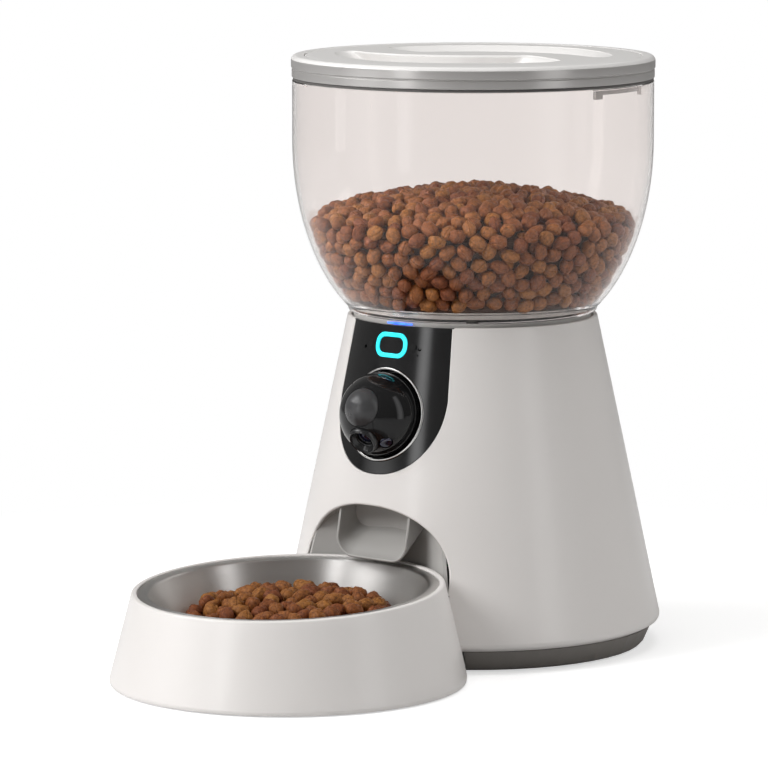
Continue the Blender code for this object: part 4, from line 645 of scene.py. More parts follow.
blue_rings = []
for step in range(13):
    share = step / 12
    turn = math.radians(-4 + 14 * share)
    size = 0.0007 * math.sin(math.pi * min(max(share, 0.08), 0.92)) ** 0.3
    blue_rings.append([((0.0752 + size * math.cos(t)) * math.sin(turn),
                        -(0.0752 + size * math.cos(t)) * math.cos(turn),
                        SHELL_TOP_Z + 0.0009 + size * math.sin(t))
                       for t in (2 * math.pi * s / 12 for s in range(12))])
standby = skinned("standby_light", blue_rings, place=Matrix.Translation(TOWER), angle=60)
blue, tree, shader, where = node_material("blue_standby_light")
blue_glow = ramp(tree, noise(tree, where, 200.0, 1.0), [(0.3, (0.02, 0.10, 0.95)),
                                                        (0.7, (0.05, 0.20, 1.0))])
tree.links.new(blue_glow, shader.inputs["Base Color"])
tree.links.new(blue_glow, shader.inputs["Emission Color"])
shader.inputs["Emission Strength"].default_value = 1.8
standby.data.materials.append(blue)
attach(standby, "root")

# Ball camera
# Two gloss black half-shells are welded round a pan block and tilt on its trunnions. The ball sits in a
# dark socket behind a bright trim ring, and carries a smoked sensor dome, the lens and a lamp window.
BALL_R = 0.0255
BALL_WALL = 0.002
BALL = Matrix.Translation(CAMERA_CENTRE)


def looking(azimuth, elevation):
    """Turn whose +Z looks towards an azimuth and elevation from the ball's centre."""
    return BALL @ Euler((math.radians(90 - elevation), 0, math.radians(azimuth))).to_matrix().to_4x4()


def arc(centre_r, centre_z, radius, start, end, steps=16):
    """Points on an arc, in degrees from the radius axis."""
    return [(centre_r + radius * math.cos(math.radians(start + (end - start) * s / steps)),
             centre_z + radius * math.sin(math.radians(start + (end - start) * s / steps)))
            for s in range(steps + 1)]


def pole(points):
    """Put the ends of an outline that reach the axis right on it."""
    return [(0.0 if abs(r) < 1e-7 else r, z) for r, z in points]


def ball_normal(point):
    return (point - CAMERA_CENTRE).normalized()


def seam(name, distance, turn):
    """Thin ring tool that cuts a seam where a plane meets the ball."""
    radius = math.sqrt(BALL_R ** 2 - distance ** 2)
    return turned(name, arc(radius, distance, 0.0003, 0, 330, 11), BALL @ turn, 128)


half_gap = math.degrees(math.asin(0.00015 / BALL_R))
inner_r = BALL_R - BALL_WALL
front_half = pole(arc(0, 0, BALL_R, half_gap, 90, 24) + arc(0, 0, inner_r, 90, half_gap, 16))
front_shell = turned("camera_front_skin", front_half, BALL
                     @ Euler((math.pi / 2, 0, 0)).to_matrix().to_4x4(), 128)
rear_half = arc(0, 0, BALL_R, -42, -half_gap, 16) + arc(0, 0, inner_r, -half_gap, -42, 12)
rear_shell = turned("camera_rear_skin", rear_half, BALL @ Euler((math.pi / 2, 0, 0)).to_matrix().to_4x4(),
                    128)
for azimuth, elevation, radius in ((6, 17, 0.0119), (8, -33.5, 0.0096), (47, -35, 0.0044)):
    carve(front_shell, turned("seat", [(0, 0.012), (radius, 0.012), (radius, 0.04), (0, 0.04)],
                              looking(azimuth, elevation), 96))
side_turn = Euler((0, math.pi / 2, 0)).to_matrix().to_4x4()
for shell in (front_shell, rear_shell):
    carve(shell, seam("side_seam", 0.012, side_turn))
    carve(shell, seam("cap_seam", 0.0187, Matrix.Identity(4)))
ball_black, tree, shader, where = node_material("gloss_black_ball")
tree.links.new(ramp(tree, noise(tree, where, 30.0, 3.0), [(0.3, (0.006, 0.006, 0.0065)),
                                                          (0.7, (0.010, 0.010, 0.0105))]),
               shader.inputs["Base Color"])
tree.links.new(spread(tree, noise(tree, where, 220.0, 4.0, 0.6), 0.07, 0.11), shader.inputs["Roughness"])
shader.inputs["Specular IOR Level"].default_value = 0.25
shader.inputs["Coat Weight"].default_value = 0.3
shader.inputs["Coat Roughness"].default_value = 0.06
for shell, node in ((front_shell, "camera_front_shell"), (rear_shell, "camera_rear_shell")):
    reshaded(shell, ball_normal, 0.97)
    shell.data.materials.append(ball_black)
    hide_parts(node)
    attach(shell, "camera_ball")

DOME_R = 0.0117
rim_z = math.sqrt(BALL_R ** 2 - DOME_R ** 2)
rise = BALL_R + 0.0042 - rim_z
dome_r = (DOME_R ** 2 + rise ** 2) / (2 * rise)
dome_centre = rim_z + rise - dome_r
dome_spread = math.degrees(math.asin(DOME_R / dome_r))
dome_outline = pole(arc(0, dome_centre, dome_r - 0.0012, 90, 90 - dome_spread, 16)
                    + [(DOME_R - 0.0013, rim_z - 0.0012), (DOME_R, rim_z - 0.0012)]
                    + arc(0, dome_centre, dome_r, 90 - dome_spread, 90, 20))
dome = turned("sensor_dome_skin", dome_outline, None, 96)
for vertex in dome.data.vertices:
    r = math.hypot(vertex.co.x, vertex.co.y)
    if r > 0.0005:
        turn = math.atan2(vertex.co.y, vertex.co.x) - math.radians(270)
        near = abs((turn * 3 / (2 * math.pi) + 0.5) % 1 - 0.5) * 2 / 3 * math.pi * r
        vertex.co.z += 0.00022 * math.exp(-(near / 0.0016) ** 2) * math.sin(math.pi * min(r / 0.0105, 1))
dome.data.transform(looking(6, 17))
smoked = moulded("smoked_sensor_dome", (0.062, 0.062, 0.064), (0.050, 0.050, 0.052), 0.26, 0.34, 1500.0,
                 0.00001)
dome.data.materials.append(smoked)
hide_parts("motion_sensor_dome")
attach(dome, "camera_ball")

face_z = BALL_R + 0.001
barrel_outline = spaced([(0.008, 0.0175), (0.008, 0.0215), (0.0093, 0.0222), (0.0093, 0.0240),
                         (0.0091, 0.0251), (0.0087, 0.0262),
                        (0.0082, face_z + 0.0002), (0.0077, face_z), (0.0074, face_z - 0.0008),
                         (0.0070, 0.0249), (0.0064, 0.0244),
                        (0.0060, 0.0236), (0.0057, 0.0233), (0.0057, 0.0226), (0.0053, 0.0223),
                         (0.0053, 0.0205),
                        (0.0050, 0.0202), (0.0050, 0.0191), (0.0031, 0.0191), (0.0031, 0.0175)], 0.004)
barrel = turned("lens_barrel_skin", barrel_outline, looking(8, -33.5), 128, angle=28)
barrel_black = moulded("satin_black_barrel", (0.016, 0.016, 0.017), (0.012, 0.012, 0.013), 0.2, 0.3, 900.0,
                       0.000006, 0.25)
barrel.data.materials.append(barrel_black)
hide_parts("lens_barrel")
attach(barrel, "camera_ball")

glass_outline = pole([(0, 0.0194), (0.0047, 0.0194), (0.0047, 0.0202)]
                     + arc(0, 0.0145, 0.0077, 52, 90, 14)[1:])
glass = turned("lens_glass_skin", glass_outline, looking(8, -33.5), 96)
coated, tree, shader, where = node_material("coated_lens_glass")
shader.inputs["Roughness"].default_value = 0.03
shader.inputs["Coat Weight"].default_value = 1.0
shader.inputs["Coat Roughness"].default_value = 0.02
shader.inputs["Coat Tint"].default_value = (0.75, 0.8, 1.0, 1)
facing = tree.nodes.new("ShaderNodeLayerWeight")
facing.inputs["Blend"].default_value = 0.4
tree.links.new(ramp(tree, facing.outputs["Facing"], [(0.0, (0.004, 0.005, 0.010)),
                                                     (0.5, (0.012, 0.012, 0.035)),
                                                     (1.0, (0.02, 0.012, 0.03))]),
               shader.inputs["Base Color"])
glass.data.materials.append(coated)
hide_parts("lens_glass")
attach(glass, "camera_ball")

lamp_top = math.sqrt(BALL_R ** 2 - 0.0038 ** 2)
window_outline = pole([(0, lamp_top - 0.0018), (0.0038, lamp_top - 0.0018), (0.0038, lamp_top - 0.0004),
                       (0.0034, lamp_top), (0.0024, lamp_top - 0.0006), (0, lamp_top - 0.0009)])
window = turned("night_lamp_skin", window_outline, looking(47, -35), 64)
window.data.materials.append(coated)
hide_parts("night_lamp_window")
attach(window, "camera_ball")

trim_rings = []
axis_out = (OUT_OF_WALL @ Vector((0, 0, 1))).normalized()
axis_up = (OUT_OF_WALL @ Vector((0, 1, 0))).normalized()
for step in range(160):
    turn = 2 * math.pi * step / 160
    side = Vector((math.cos(turn), 0, 0)) + axis_up * math.sin(turn)
    ring = []
    for across, above in ((-0.0009, -0.0020), (0.0009, -0.0020), (0.0009, -0.0002), (0.0007, 0.0001),
                          (0.0003, 0.0003),
                          (-0.0002, 0.0003), (-0.0006, 0.0001), (-0.0009, -0.0004)):
        point = CAMERA_CENTRE + side * (0.0276 + across)
        for _ in range(8):
            off = math.hypot(point.x - TOWER.x, point.y - TOWER.y) - cone_radius(point.z,
                                                                                 PANEL_INSET - above)
            point = point - axis_out * off * math.cos(WALL_LEAN)
        ring.append(point)
    trim_rings.append(ring)
trim = skinned("camera_ring_skin", trim_rings, True, angle=50)
trim_black = moulded("polished_trim", (0.72, 0.71, 0.70), (0.64, 0.63, 0.62), 0.16, 0.24, 700.0, 0.000004)
trim_black.node_tree.nodes["Principled BSDF"].inputs["Metallic"].default_value = 1.0
trim.data.materials.append(trim_black)
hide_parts("camera_ring")
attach(trim, "root")
nodes["camera_socket"].data.materials[0] = barrel_black

# Clear hopper
# One deep injection-moulded tub of clear copolyester, faintly tinted, with a thick foot ring that stands
# on the deck's seat and two bayonet catches under its rim.
TANK_R = 0.1103
TANK_WALL = 0.0022
TANK_TOP_Z = 0.3469
TANK_BOTTOM_Z = 0.206
TANK_FLOOR_Z = 0.2085


def tank_radius(height, inset=0.0):
    drop = max(0.310 - height, 0) / 0.118
    radius = TANK_R - 0.069 * (1 - math.sqrt(1 - drop ** 2))
    if inset == 0:
        return radius
    slope = 0.069 * drop / math.sqrt(1 - drop ** 2) / 0.118
    return radius - inset * math.sqrt(1 + slope ** 2)


heights = [TANK_FLOOR_Z + (0.310 - TANK_FLOOR_Z) * step / 44 for step in range(45)]
outer = [(tank_radius(z), z) for z in heights] + [(TANK_R, 0.322), (TANK_R, 0.334),
                                                  (TANK_R, TANK_TOP_Z - 0.0004),
                                                  (TANK_R - 0.0004, TANK_TOP_Z)]
inner = [(TANK_R - TANK_WALL + 0.0004, TANK_TOP_Z), (TANK_R - TANK_WALL, TANK_TOP_Z - 0.0004),
         (TANK_R - TANK_WALL, 0.334),
         (TANK_R - TANK_WALL, 0.322)] + [(tank_radius(z, TANK_WALL), z)
                                         for z in heights[::-1] if z > 0.2122]
foot_r = tank_radius(TANK_FLOOR_Z)
foot = [(foot_r - TANK_WALL - 0.0004, 0.2121), (foot_r - TANK_WALL - 0.0004, TANK_FLOOR_Z),
        (foot_r - 0.012, TANK_FLOOR_Z),
        (foot_r - 0.012, TANK_BOTTOM_Z), (foot_r - 0.0012, TANK_BOTTOM_Z),
        (foot_r - 0.0004, TANK_BOTTOM_Z + 0.0007),
        (foot_r - 0.0001, TANK_BOTTOM_Z + 0.0016)]
tank = turned("hopper_tank_skin", outer + inner + foot, Matrix.Translation(TOWER), 256)
clear, tree, shader, where = node_material("tinted_clear_plastic")
shader.inputs["Base Color"].default_value = (0.885, 0.850, 0.835, 1)
shader.inputs["Transmission Weight"].default_value = 1.0
shader.inputs["IOR"].default_value = 1.18
shader.inputs["Specular IOR Level"].default_value = 0.08
shader.inputs["Coat Weight"].default_value = 0.25
shader.inputs["Coat Roughness"].default_value = 0.18
tree.links.new(spread(tree, noise(tree, where, 40.0, 4.0), 0.0, 0.008), shader.inputs["Roughness"])
bump(tree, shader, noise(tree, where, 16.0, 1.0), 0.00006, 0.5)
passing = tree.nodes.new("ShaderNodeBsdfTransparent")
passing.inputs["Color"].default_value = (0.94, 0.93, 0.925, 1)
rays = tree.nodes.new("ShaderNodeLightPath")
mix = tree.nodes.new("ShaderNodeMixShader")
tree.links.new(rays.outputs["Is Shadow Ray"], mix.inputs["Fac"])
tree.links.new(shader.outputs["BSDF"], mix.inputs[1])
tree.links.new(passing.outputs["BSDF"], mix.inputs[2])
tree.links.new(mix.outputs["Shader"], tree.nodes["Material Output"].inputs["Surface"])
tank.data.materials.append(clear)
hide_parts("hopper_tank")
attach(tank, "hopper")
nodes["hopper_floor"].data.materials[0] = liner_white_painted_shade
catch_grey = moulded("smoky_clear_catch", (0.30, 0.29, 0.285), (0.25, 0.24, 0.235), 0.12, 0.2, 500.0,
                     0.00001, 0.5)
for name in ("lid_catch_1", "lid_catch_2"):
    nodes[name].data.materials[0] = catch_grey

# Kibble
# Extruded and baked dry food in small cracked ovals about a centimetre long, oily brown with darker
# edges. It fills half of the hopper, pressed against the wall, and lies in a low heap in the bowl.
def kibble_tree(material):
    """Scatter lumpy pieces over a skin. Each keeps its own place and shade for the material."""
    tree = bpy.data.node_groups.new("heaped_kibble", "GeometryNodeTree")
    face = tree.interface
    face.new_socket("Geometry", in_out="INPUT", socket_type="NodeSocketGeometry")
    sockets = {}
    for name, kind, value in (("Spacing", "NodeSocketFloat", 0.008),
                              ("Piece Size", "NodeSocketFloat", 0.010),
                              ("Lump Height", "NodeSocketFloat", 0.0012),
                              ("Stir", "NodeSocketFloat", 0.0014), ("Segments", "NodeSocketInt", 12),
                              ("Rings", "NodeSocketInt", 7), ("Seed", "NodeSocketInt", 3)):
        socket = face.new_socket(name, in_out="INPUT", socket_type=kind)
        socket.default_value = value
        sockets[name] = socket.identifier
    face.new_socket("Geometry", in_out="OUTPUT", socket_type="NodeSocketGeometry")
    new, link = tree.nodes.new, tree.links.new
    source, sink = new("NodeGroupInput"), new("NodeGroupOutput")
    scatter = new("GeometryNodeDistributePointsOnFaces")
    scatter.distribute_method = "POISSON"
    scatter.inputs["Density Max"].default_value = 400000
    link(source.outputs["Geometry"], scatter.inputs["Mesh"])
    link(source.outputs["Spacing"], scatter.inputs["Distance Min"])
    link(source.outputs["Seed"], scatter.inputs["Seed"])
    toss = new("FunctionNodeRandomValue")
    toss.data_type = "FLOAT"
    toss.inputs[2].default_value = -1.0
    link(source.outputs["Seed"], toss.inputs["Seed"])
    height = new("ShaderNodeMath")
    height.operation = "MULTIPLY"
    link(toss.outputs[1], height.inputs[0])
    link(source.outputs["Stir"], height.inputs[1])
    along = new("ShaderNodeVectorMath")
    along.operation = "SCALE"
    link(scatter.outputs["Normal"], along.inputs[0])
    link(height.outputs["Value"], along.inputs["Scale"])
    stirred = new("GeometryNodeSetPosition")
    link(scatter.outputs["Points"], stirred.inputs["Geometry"])
    link(along.outputs["Vector"], stirred.inputs["Offset"])
    ball = new("GeometryNodeMeshUVSphere")
    ball.inputs["Radius"].default_value = 0.5
    link(source.outputs["Segments"], ball.inputs["Segments"])
    link(source.outputs["Rings"], ball.inputs["Rings"])
    own = new("GeometryNodeStoreNamedAttribute")
    own.data_type, own.domain = "FLOAT_VECTOR", "POINT"
    own.inputs["Name"].default_value = "own_place"
    here = new("GeometryNodeInputPosition")
    link(ball.outputs["Mesh"], own.inputs["Geometry"])
    link(here.outputs["Position"], own.inputs["Value"])
    turn = new("FunctionNodeRandomValue")
    turn.data_type = "FLOAT_VECTOR"
    turn.inputs["Min"].default_value = (-0.55, -0.55, -3.14)
    turn.inputs["Max"].default_value = (0.55, 0.55, 3.14)
    link(source.outputs["Seed"], turn.inputs["Seed"])
    spin = new("FunctionNodeRotateRotation")
    spin.rotation_space = "LOCAL"
    link(scatter.outputs["Rotation"], spin.inputs[0])
    link(turn.outputs["Value"], spin.inputs[1])
    size = new("FunctionNodeRandomValue")
    size.data_type = "FLOAT_VECTOR"
    size.inputs["Min"].default_value = (0.95, 0.76, 0.70)
    size.inputs["Max"].default_value = (1.22, 0.98, 0.88)
    scale = new("ShaderNodeVectorMath")
    scale.operation = "SCALE"
    link(size.outputs["Value"], scale.inputs[0])
    link(source.outputs["Piece Size"], scale.inputs["Scale"])
    place = new("GeometryNodeInstanceOnPoints")
    link(stirred.outputs["Geometry"], place.inputs["Points"])
    link(own.outputs["Geometry"], place.inputs["Instance"])
    link(spin.outputs["Rotation"], place.inputs["Rotation"])
    link(scale.outputs["Vector"], place.inputs["Scale"])
    shade = new("GeometryNodeStoreNamedAttribute")
    shade.data_type, shade.domain = "FLOAT", "INSTANCE"
    shade.inputs["Name"].default_value = "own_shade"
    chance = new("FunctionNodeRandomValue")
    chance.data_type = "FLOAT"
    link(place.outputs["Instances"], shade.inputs["Geometry"])
    link(chance.outputs[1], shade.inputs["Value"])
    real = new("GeometryNodeRealizeInstances")
    link(shade.outputs["Geometry"], real.inputs["Geometry"])
    lumps = new("ShaderNodeTexNoise")
    lumps.inputs["Scale"].default_value = 250.0
    lumps.inputs["Detail"].default_value = 1.0
    where = new("GeometryNodeInputPosition")
    link(where.outputs["Position"], lumps.inputs["Vector"])
    centred = new("ShaderNodeMath")
    centred.operation = "SUBTRACT"
    centred.inputs[1].default_value = 0.5
    link(lumps.outputs["Fac"], centred.inputs[0])
    tall = new("ShaderNodeMath")
    tall.operation = "MULTIPLY"
    link(centred.outputs["Value"], tall.inputs[0])
    link(source.outputs["Lump Height"], tall.inputs[1])
    out = new("GeometryNodeInputNormal")
    shift = new("ShaderNodeVectorMath")
    shift.operation = "SCALE"
    link(out.outputs["Normal"], shift.inputs[0])
    link(tall.outputs["Value"], shift.inputs["Scale"])
    move = new("GeometryNodeSetPosition")
    link(real.outputs["Geometry"], move.inputs["Geometry"])
    link(shift.outputs["Vector"], move.inputs["Offset"])
    smooth = new("GeometryNodeSetShadeSmooth")
    link(move.outputs["Geometry"], smooth.inputs["Geometry"])
    paint = new("GeometryNodeSetMaterial")
    paint.inputs["Material"].default_value = material
    link(smooth.outputs["Geometry"], paint.inputs["Geometry"])
    link(paint.outputs["Geometry"], sink.inputs["Geometry"])
    return tree, sockets


def heaped(name, outline, place, values, steps=96, lean=None, seed=3):
    """Cover a turned skin with kibble and return the pieces as one plain mesh."""
    piece = turned(name, outline, place, steps, lean)
    change = piece.modifiers.new("kibble", "NODES")
    change.node_group = kibble_group
    for key, value in {**values, "Seed": seed}.items():
        change[kibble_sockets[key]] = value
    bpy.context.view_layer.update()
    evaluated = piece.evaluated_get(bpy.context.evaluated_depsgraph_get())
    mesh = bpy.data.meshes.new_from_object(evaluated)
    piece.modifiers.clear()
    old, piece.data = piece.data, mesh
    bpy.data.meshes.remove(old)
    return piece


kibble, tree, shader, where = node_material("baked_kibble")
own_place = tree.nodes.new("ShaderNodeAttribute")
own_place.attribute_name = "own_place"
own_shade = tree.nodes.new("ShaderNodeAttribute")
own_shade.attribute_name = "own_shade"
freckles = noise(tree, where, 620.0, 5.0, 0.65)
cooked = ramp(tree, freckles, [(0.28, (0.060, 0.018, 0.006)), (0.5, (0.215, 0.070, 0.018)),
                               (0.72, (0.34, 0.125, 0.034))])
tone = tree.nodes.new("ShaderNodeHueSaturation")
tree.links.new(cooked, tone.inputs["Color"])
tree.links.new(spread(tree, own_shade.outputs["Fac"], 0.72, 1.25, 0.0, 1.0), tone.inputs["Value"])
tree.links.new(spread(tree, own_shade.outputs["Fac"], 0.49, 0.512, 0.0, 1.0), tone.inputs["Hue"])
tree.links.new(tone.outputs["Color"], shader.inputs["Base Color"])
tree.links.new(spread(tree, freckles, 0.62, 0.42), shader.inputs["Roughness"])
shader.inputs["Specular IOR Level"].default_value = 0.35
split = tree.nodes.new("ShaderNodeSeparateXYZ")
tree.links.new(own_place.outputs["Vector"], split.inputs["Vector"])
crease = tree.nodes.new("ShaderNodeMath")
crease.operation = "ABSOLUTE"
tree.links.new(split.outputs["Y"], crease.inputs[0])
groove = spread(tree, crease.outputs["Value"], 0.0, 1.0, 0.0, 0.07)
rough_skin = noise(tree, where, 900.0, 4.0, 0.6)
both = tree.nodes.new("ShaderNodeMath")
both.operation = "ADD"
tree.links.new(groove, both.inputs[0])
tree.links.new(rough_skin, both.inputs[1])
bump(tree, shader, both.outputs["Value"], 0.0005, 0.7)
kibble_group, kibble_sockets = kibble_tree(kibble)
sizes = {"Spacing": 0.0086, "Piece Size": 0.0101, "Lump Height": 0.0030, "Stir": 0.0015}
fine = {**sizes, "Segments": 12, "Rings": 7}
coarse = {**sizes, "Segments": 8, "Rings": 6}
HEAP_EDGE_Z = 0.2655
HEAP_PEAK_Z = 0.2830


def heap_outline(inset, crown_inset):
    """Skin of the hopper's food, inset from the tank's wall and from the heap's top."""
    low = 0.2121 + inset
    top_edge = HEAP_EDGE_Z - crown_inset
    wall = [low + (top_edge - low) * step / 14 for step in range(15)]
    points = [(tank_radius(z, TANK_WALL + 0.0006 + inset), z) for z in wall]
    edge_r = points[-1][0]
    for step in range(1, 13):
        share = 1 - step / 12
        points.append((edge_r * share, top_edge + (HEAP_PEAK_Z - HEAP_EDGE_Z) * (1 - share ** 2)))
    return points


def pressed(piece):
    """Hold every point of the hopper's food inside the tank and off the rotor's space."""
    for vertex in piece.data.vertices:
        x, y, z = vertex.co - TOWER
        z = max(z, 0.2124)
        r = math.hypot(x, y)
        most = tank_radius(z, TANK_WALL + 0.0006)
        if r > most:
            x, y, r = x * most / r, y * most / r, most
        if z < 0.2300 and r < 0.0540:
            x, y = x * 0.0540 / max(r, 1e-6), y * 0.0540 / max(r, 1e-6)
        vertex.co = Vector((x, y, z)) + TOWER


layers = []
for number, (inset, crown_inset) in enumerate(((0.0046, 0.0040), (0.0105, 0.0105))):
    skin = heap_outline(inset, crown_inset)
    closing = [(0.055, skin[0][1])] if number == 0 else [(0.058, skin[0][1])]
    layer = heaped("kibble_layer", skin + [(0.0, skin[0][1] + 0.02)] + closing, Matrix.Translation(TOWER),
                   coarse if number else fine, 96, seed=5 + number)
    layers.append(layer)
# The core is a dark solid of painted shade under the pieces, so that the gaps between them look dark.
core_skin = heap_outline(0.0085, 0.0085)
core = turned("kibble_core", core_skin + [(0, 0.2300), (0.0545, 0.2300), (0.0545, 0.2126),
                                          (core_skin[0][0], 0.2126)],
              Matrix.Translation(TOWER), 96)
kibble_gap_shade = moulded("shaded_kibble", (0.055, 0.020, 0.007), (0.035, 0.012, 0.005), 0.8, 0.9, 400.0, 0.0006)
core.data.materials.append(kibble_gap_shade)
for layer in layers:
    pressed(layer)
pressed(core)
heap = merged("hopper_kibble_pieces", layers + [core])

# Lid
# A white ring with a soft shoulder and a parting groove in its side. The top panel sits inside it, with
# two scooped finger wells that leave a slanting grip bar between them.
LID_R = 0.111
LID_Z = 0.3489
LID_TOP = 0.0132
LID_GROOVE_R = 0.103
WELL_DEPTH = 0.0125
WELL_EDGE = ((0.079, 0.026), (0.063, 0.0505), (0.035, 0.0735), (0, 0.0795), (-0.032, 0.0725),
             (-0.054, 0.0585),
             (-0.064, 0.0475), (-0.0655, 0.034), (-0.051, 0.017), (-0.036, 0.005), (-0.020, 0.011),
             (0.005, 0.0195),
             (0.040, 0.0205), (0.062, 0.011), (0.079, -0.001), (0.084, 0.008))
WELL_ROOT = Vector((0.005, 0.0195))
CATCH_START = 108
LID = Matrix.Translation(TOWER + Vector((0, 0, LID_Z)))
plug_r = TANK_R - TANK_WALL - 0.0007
ledge_top = LID_TOP - 0.0025
rim_outline = spaced(rounded([
    (LID_R - 0.0004, 0, 0.0004), (LID_R - 0.0004, 0.0046, 0.0003), (LID_R - 0.0009, 0.0050, 0.0002),
                              (LID_R - 0.0009, 0.0055, 0.0002),
    (LID_R, 0.0059, 0.0003), (LID_R, 0.0112, 0.0012), (LID_R - 0.0018, LID_TOP, 0.0014),
                              (LID_GROOVE_R, LID_TOP, 0.0005),
    (LID_GROOVE_R, ledge_top, 0), (LID_GROOVE_R - 0.0035, ledge_top, 0),
                              (LID_GROOVE_R - 0.0035, ledge_top - 0.0022, 0),
    (plug_r - 0.0026, ledge_top - 0.0022, 0.0008), (plug_r - 0.0026, -0.0022, 0.0006),
                              (plug_r, -0.0022, 0.0006), (plug_r, 0, 0)]), 0.006)
lid_rim = turned("lid_rim_skin", rim_outline, LID, 256)
lugs = []
for start in (CATCH_START, CATCH_START + 180):
    rings = []
    for step in range(9):
        turn = math.radians(start + 10 * step / 8)
        radii = (plug_r - 0.0026, plug_r - 0.0003)
        rings.append([(r * math.sin(turn), -r * math.cos(turn), z) for r, z in
                      ((radii[0], -0.0082), (radii[1], -0.0082), (radii[1], -0.0004), (radii[0], -0.0004))])
    lugs.append(skinned("lid_lug", rings, place=LID))
lid_rim = merged("lid_rim_skin", [lid_rim] + lugs)
lid_white = moulded("satin_lid_abs", (0.83, 0.815, 0.80), (0.825, 0.81, 0.795), 0.30, 0.32, 2400.0,
                    0.000004, 0.2)
lid_band = moulded("glossy_grey_band", (0.52, 0.505, 0.495), (0.49, 0.475, 0.465), 0.28, 0.32, 900.0,
                   0.000004)
lid_band.node_tree.nodes["Principled BSDF"].inputs["Metallic"].default_value = 0.5
lid_rim.data.materials.append(lid_white)
lid_rim.data.materials.append(lid_band)
for face in lid_rim.data.polygons:
    if face.center.z < LID_Z + 0.0108 and math.dist(face.center.xy, TOWER.xy) > LID_R - 0.0015:
        face.material_index = 1
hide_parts("lid_rim")
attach(lid_rim, "lid")


def smooth_loop(points, steps=8):
    """Closed smooth curve through points."""
    made = []
    count = len(points)
    for index in range(count):
        a, b, c, d = (points[(index + k) % count] for k in (-1, 0, 1, 2))
        for step in range(steps):
            t = step / steps
            made.append(Vector([0.5 * (2 * q + (r - p) * t + (2 * p - 5 * q + 4 * r - s) * t ** 2
                                       + (3 * q - p - 3 * r + s) * t ** 3) for p, q, r,
                                s in zip(a, b, c, d)]))
    return made


def moved_out(loop, distance):
    """Offset a counter-clockwise closed curve outwards."""
    made = []
    for index, point in enumerate(loop):
        along = (loop[(index + 1) % len(loop)] - loop[index - 1]).normalized()
        made.append(point + Vector((along.y, -along.x)) * distance)
    return made


def well_body(name, grow, top, turn, soft=True):
    """A finger well: rounded at its edge, steep beside the bar and a long scoop on the far side."""
    loop = moved_out(smooth_loop(WELL_EDGE), grow)
    rings = []
    if soft:
        for share in (1.0, 0.8, 0.55, 0.3, 0.12, 0.0):
            rise = 0.0012 * (1 - math.sqrt(max(1 - share ** 2, 0)))
            ring = moved_out(loop, 0.0012 * share ** 2 * 1.0)
            rings.append([(p.x, p.y, LID_TOP + 0.0006 - 0.0012 + rise) for p in ring])
        rings.insert(0, [(p.x, p.y, top) for p in moved_out(loop, 0.0013)])
    else:
        rings.append([(p.x, p.y, top) for p in loop])
    for step in range(1, 15):
        share = step / 14
        scale = 1 - 0.40 * share
        fall = WELL_DEPTH - 0.0002 if share == 1 else (WELL_DEPTH - 0.0002) * math.sin(share * math.pi / 2) ** 1.15
        rings.append([(WELL_ROOT.x + (p.x - WELL_ROOT.x) * scale, WELL_ROOT.y + (p.y - WELL_ROOT.y) * scale,
                       LID_TOP - 0.0006 - fall - grow * min(share * 3, 1)) for p in loop])
    place = LID @ Euler((0, 0, math.radians(turn))).to_matrix().to_4x4()
    return skinned(name, rings, place=place, angle=40)


panel_r = LID_GROOVE_R - 0.0004
crown = [(panel_r - 0.0005, LID_TOP - 0.0002)] + [(0.098 * (1 - s / 10), LID_TOP
                                                   + 0.0006 * (1 - (1 - s / 10) ** 2)) for s in range(10)]
plate = [(0, LID_TOP - 0.0022), (panel_r, LID_TOP - 0.0022),
         (panel_r, LID_TOP - 0.0007)] + crown + [(0, LID_TOP + 0.0006)]
lid_panel = turned("lid_panel_skin", plate, LID, 256)
for turn in (20, 200):
    carve(lid_panel, well_body("well_cup", 0.002, LID_TOP - 0.0015, turn, False), "UNION")
for turn in (20, 200):
    carve(lid_panel, well_body("well", 0.0, LID_TOP + 0.003, turn), angle=40)
reshaded(lid_panel, lambda point: Vector((0, 0, 1)), 0.9995)
lid_panel.data.materials.append(lid_white)
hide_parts("lid_panel")
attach(lid_panel, "lid")

# Bowl holder and pads
# A white ABS ring whose rim leans a little forward. A thin rounded lip runs round the top, inside it lies
# the rebate for the bowl's flange, and three rubber pads are pressed into its foot.
RIM_TILT = math.tan(math.radians(2.8))
low = 0.0008
lip_inner = HOLDER_RIM_R - 0.0032
rebate_z = HOLDER_HEIGHT - 0.002
ring_z = rebate_z - 0.0037
mouth_r = HOLDER_RIM_R - 0.0104
flange_r = lip_inner - 0.0004
holder_outline = spaced(rounded([
    (HOLDER_FOOT_R - 0.0006, low, 0.0007), (HOLDER_FOOT_R - 0.0002, low + 0.0024, 0.0006),
    (HOLDER_RIM_R, HOLDER_HEIGHT, 0.0013), (lip_inner, HOLDER_HEIGHT, 0.0007), (lip_inner, rebate_z, 0.0),
    (mouth_r + 0.0023, rebate_z, 0.0004), (mouth_r + 0.0023, ring_z, 0.0004),
                                 (holder_radius(ring_z) - 0.003, ring_z, 0.0008),
    (holder_radius(0.004) - 0.003, 0.0038, 0.0010), (HOLDER_FOOT_R - 0.014, 0.0038, 0.0004),
                                 (HOLDER_FOOT_R - 0.014, low, 0.0004)]), 0.006)
holder = turned("bowl_holder_skin", holder_outline, Matrix.Translation(BOWL), 256,
                lambda z: RIM_TILT * z / HOLDER_HEIGHT)
tongue = skinned("dock_tongue", [[(x, y, z + 0.0011) for x,
                                  y in ((-0.015, 0.0991), (0.015, 0.0991), (0.015, 0.1180),
                                                               (0.013, 0.1196), (-0.013, 0.1196),
                                        (-0.015, 0.1180))]
                                 for z in (0, 0.0024)], place=Matrix.Translation(BOWL))
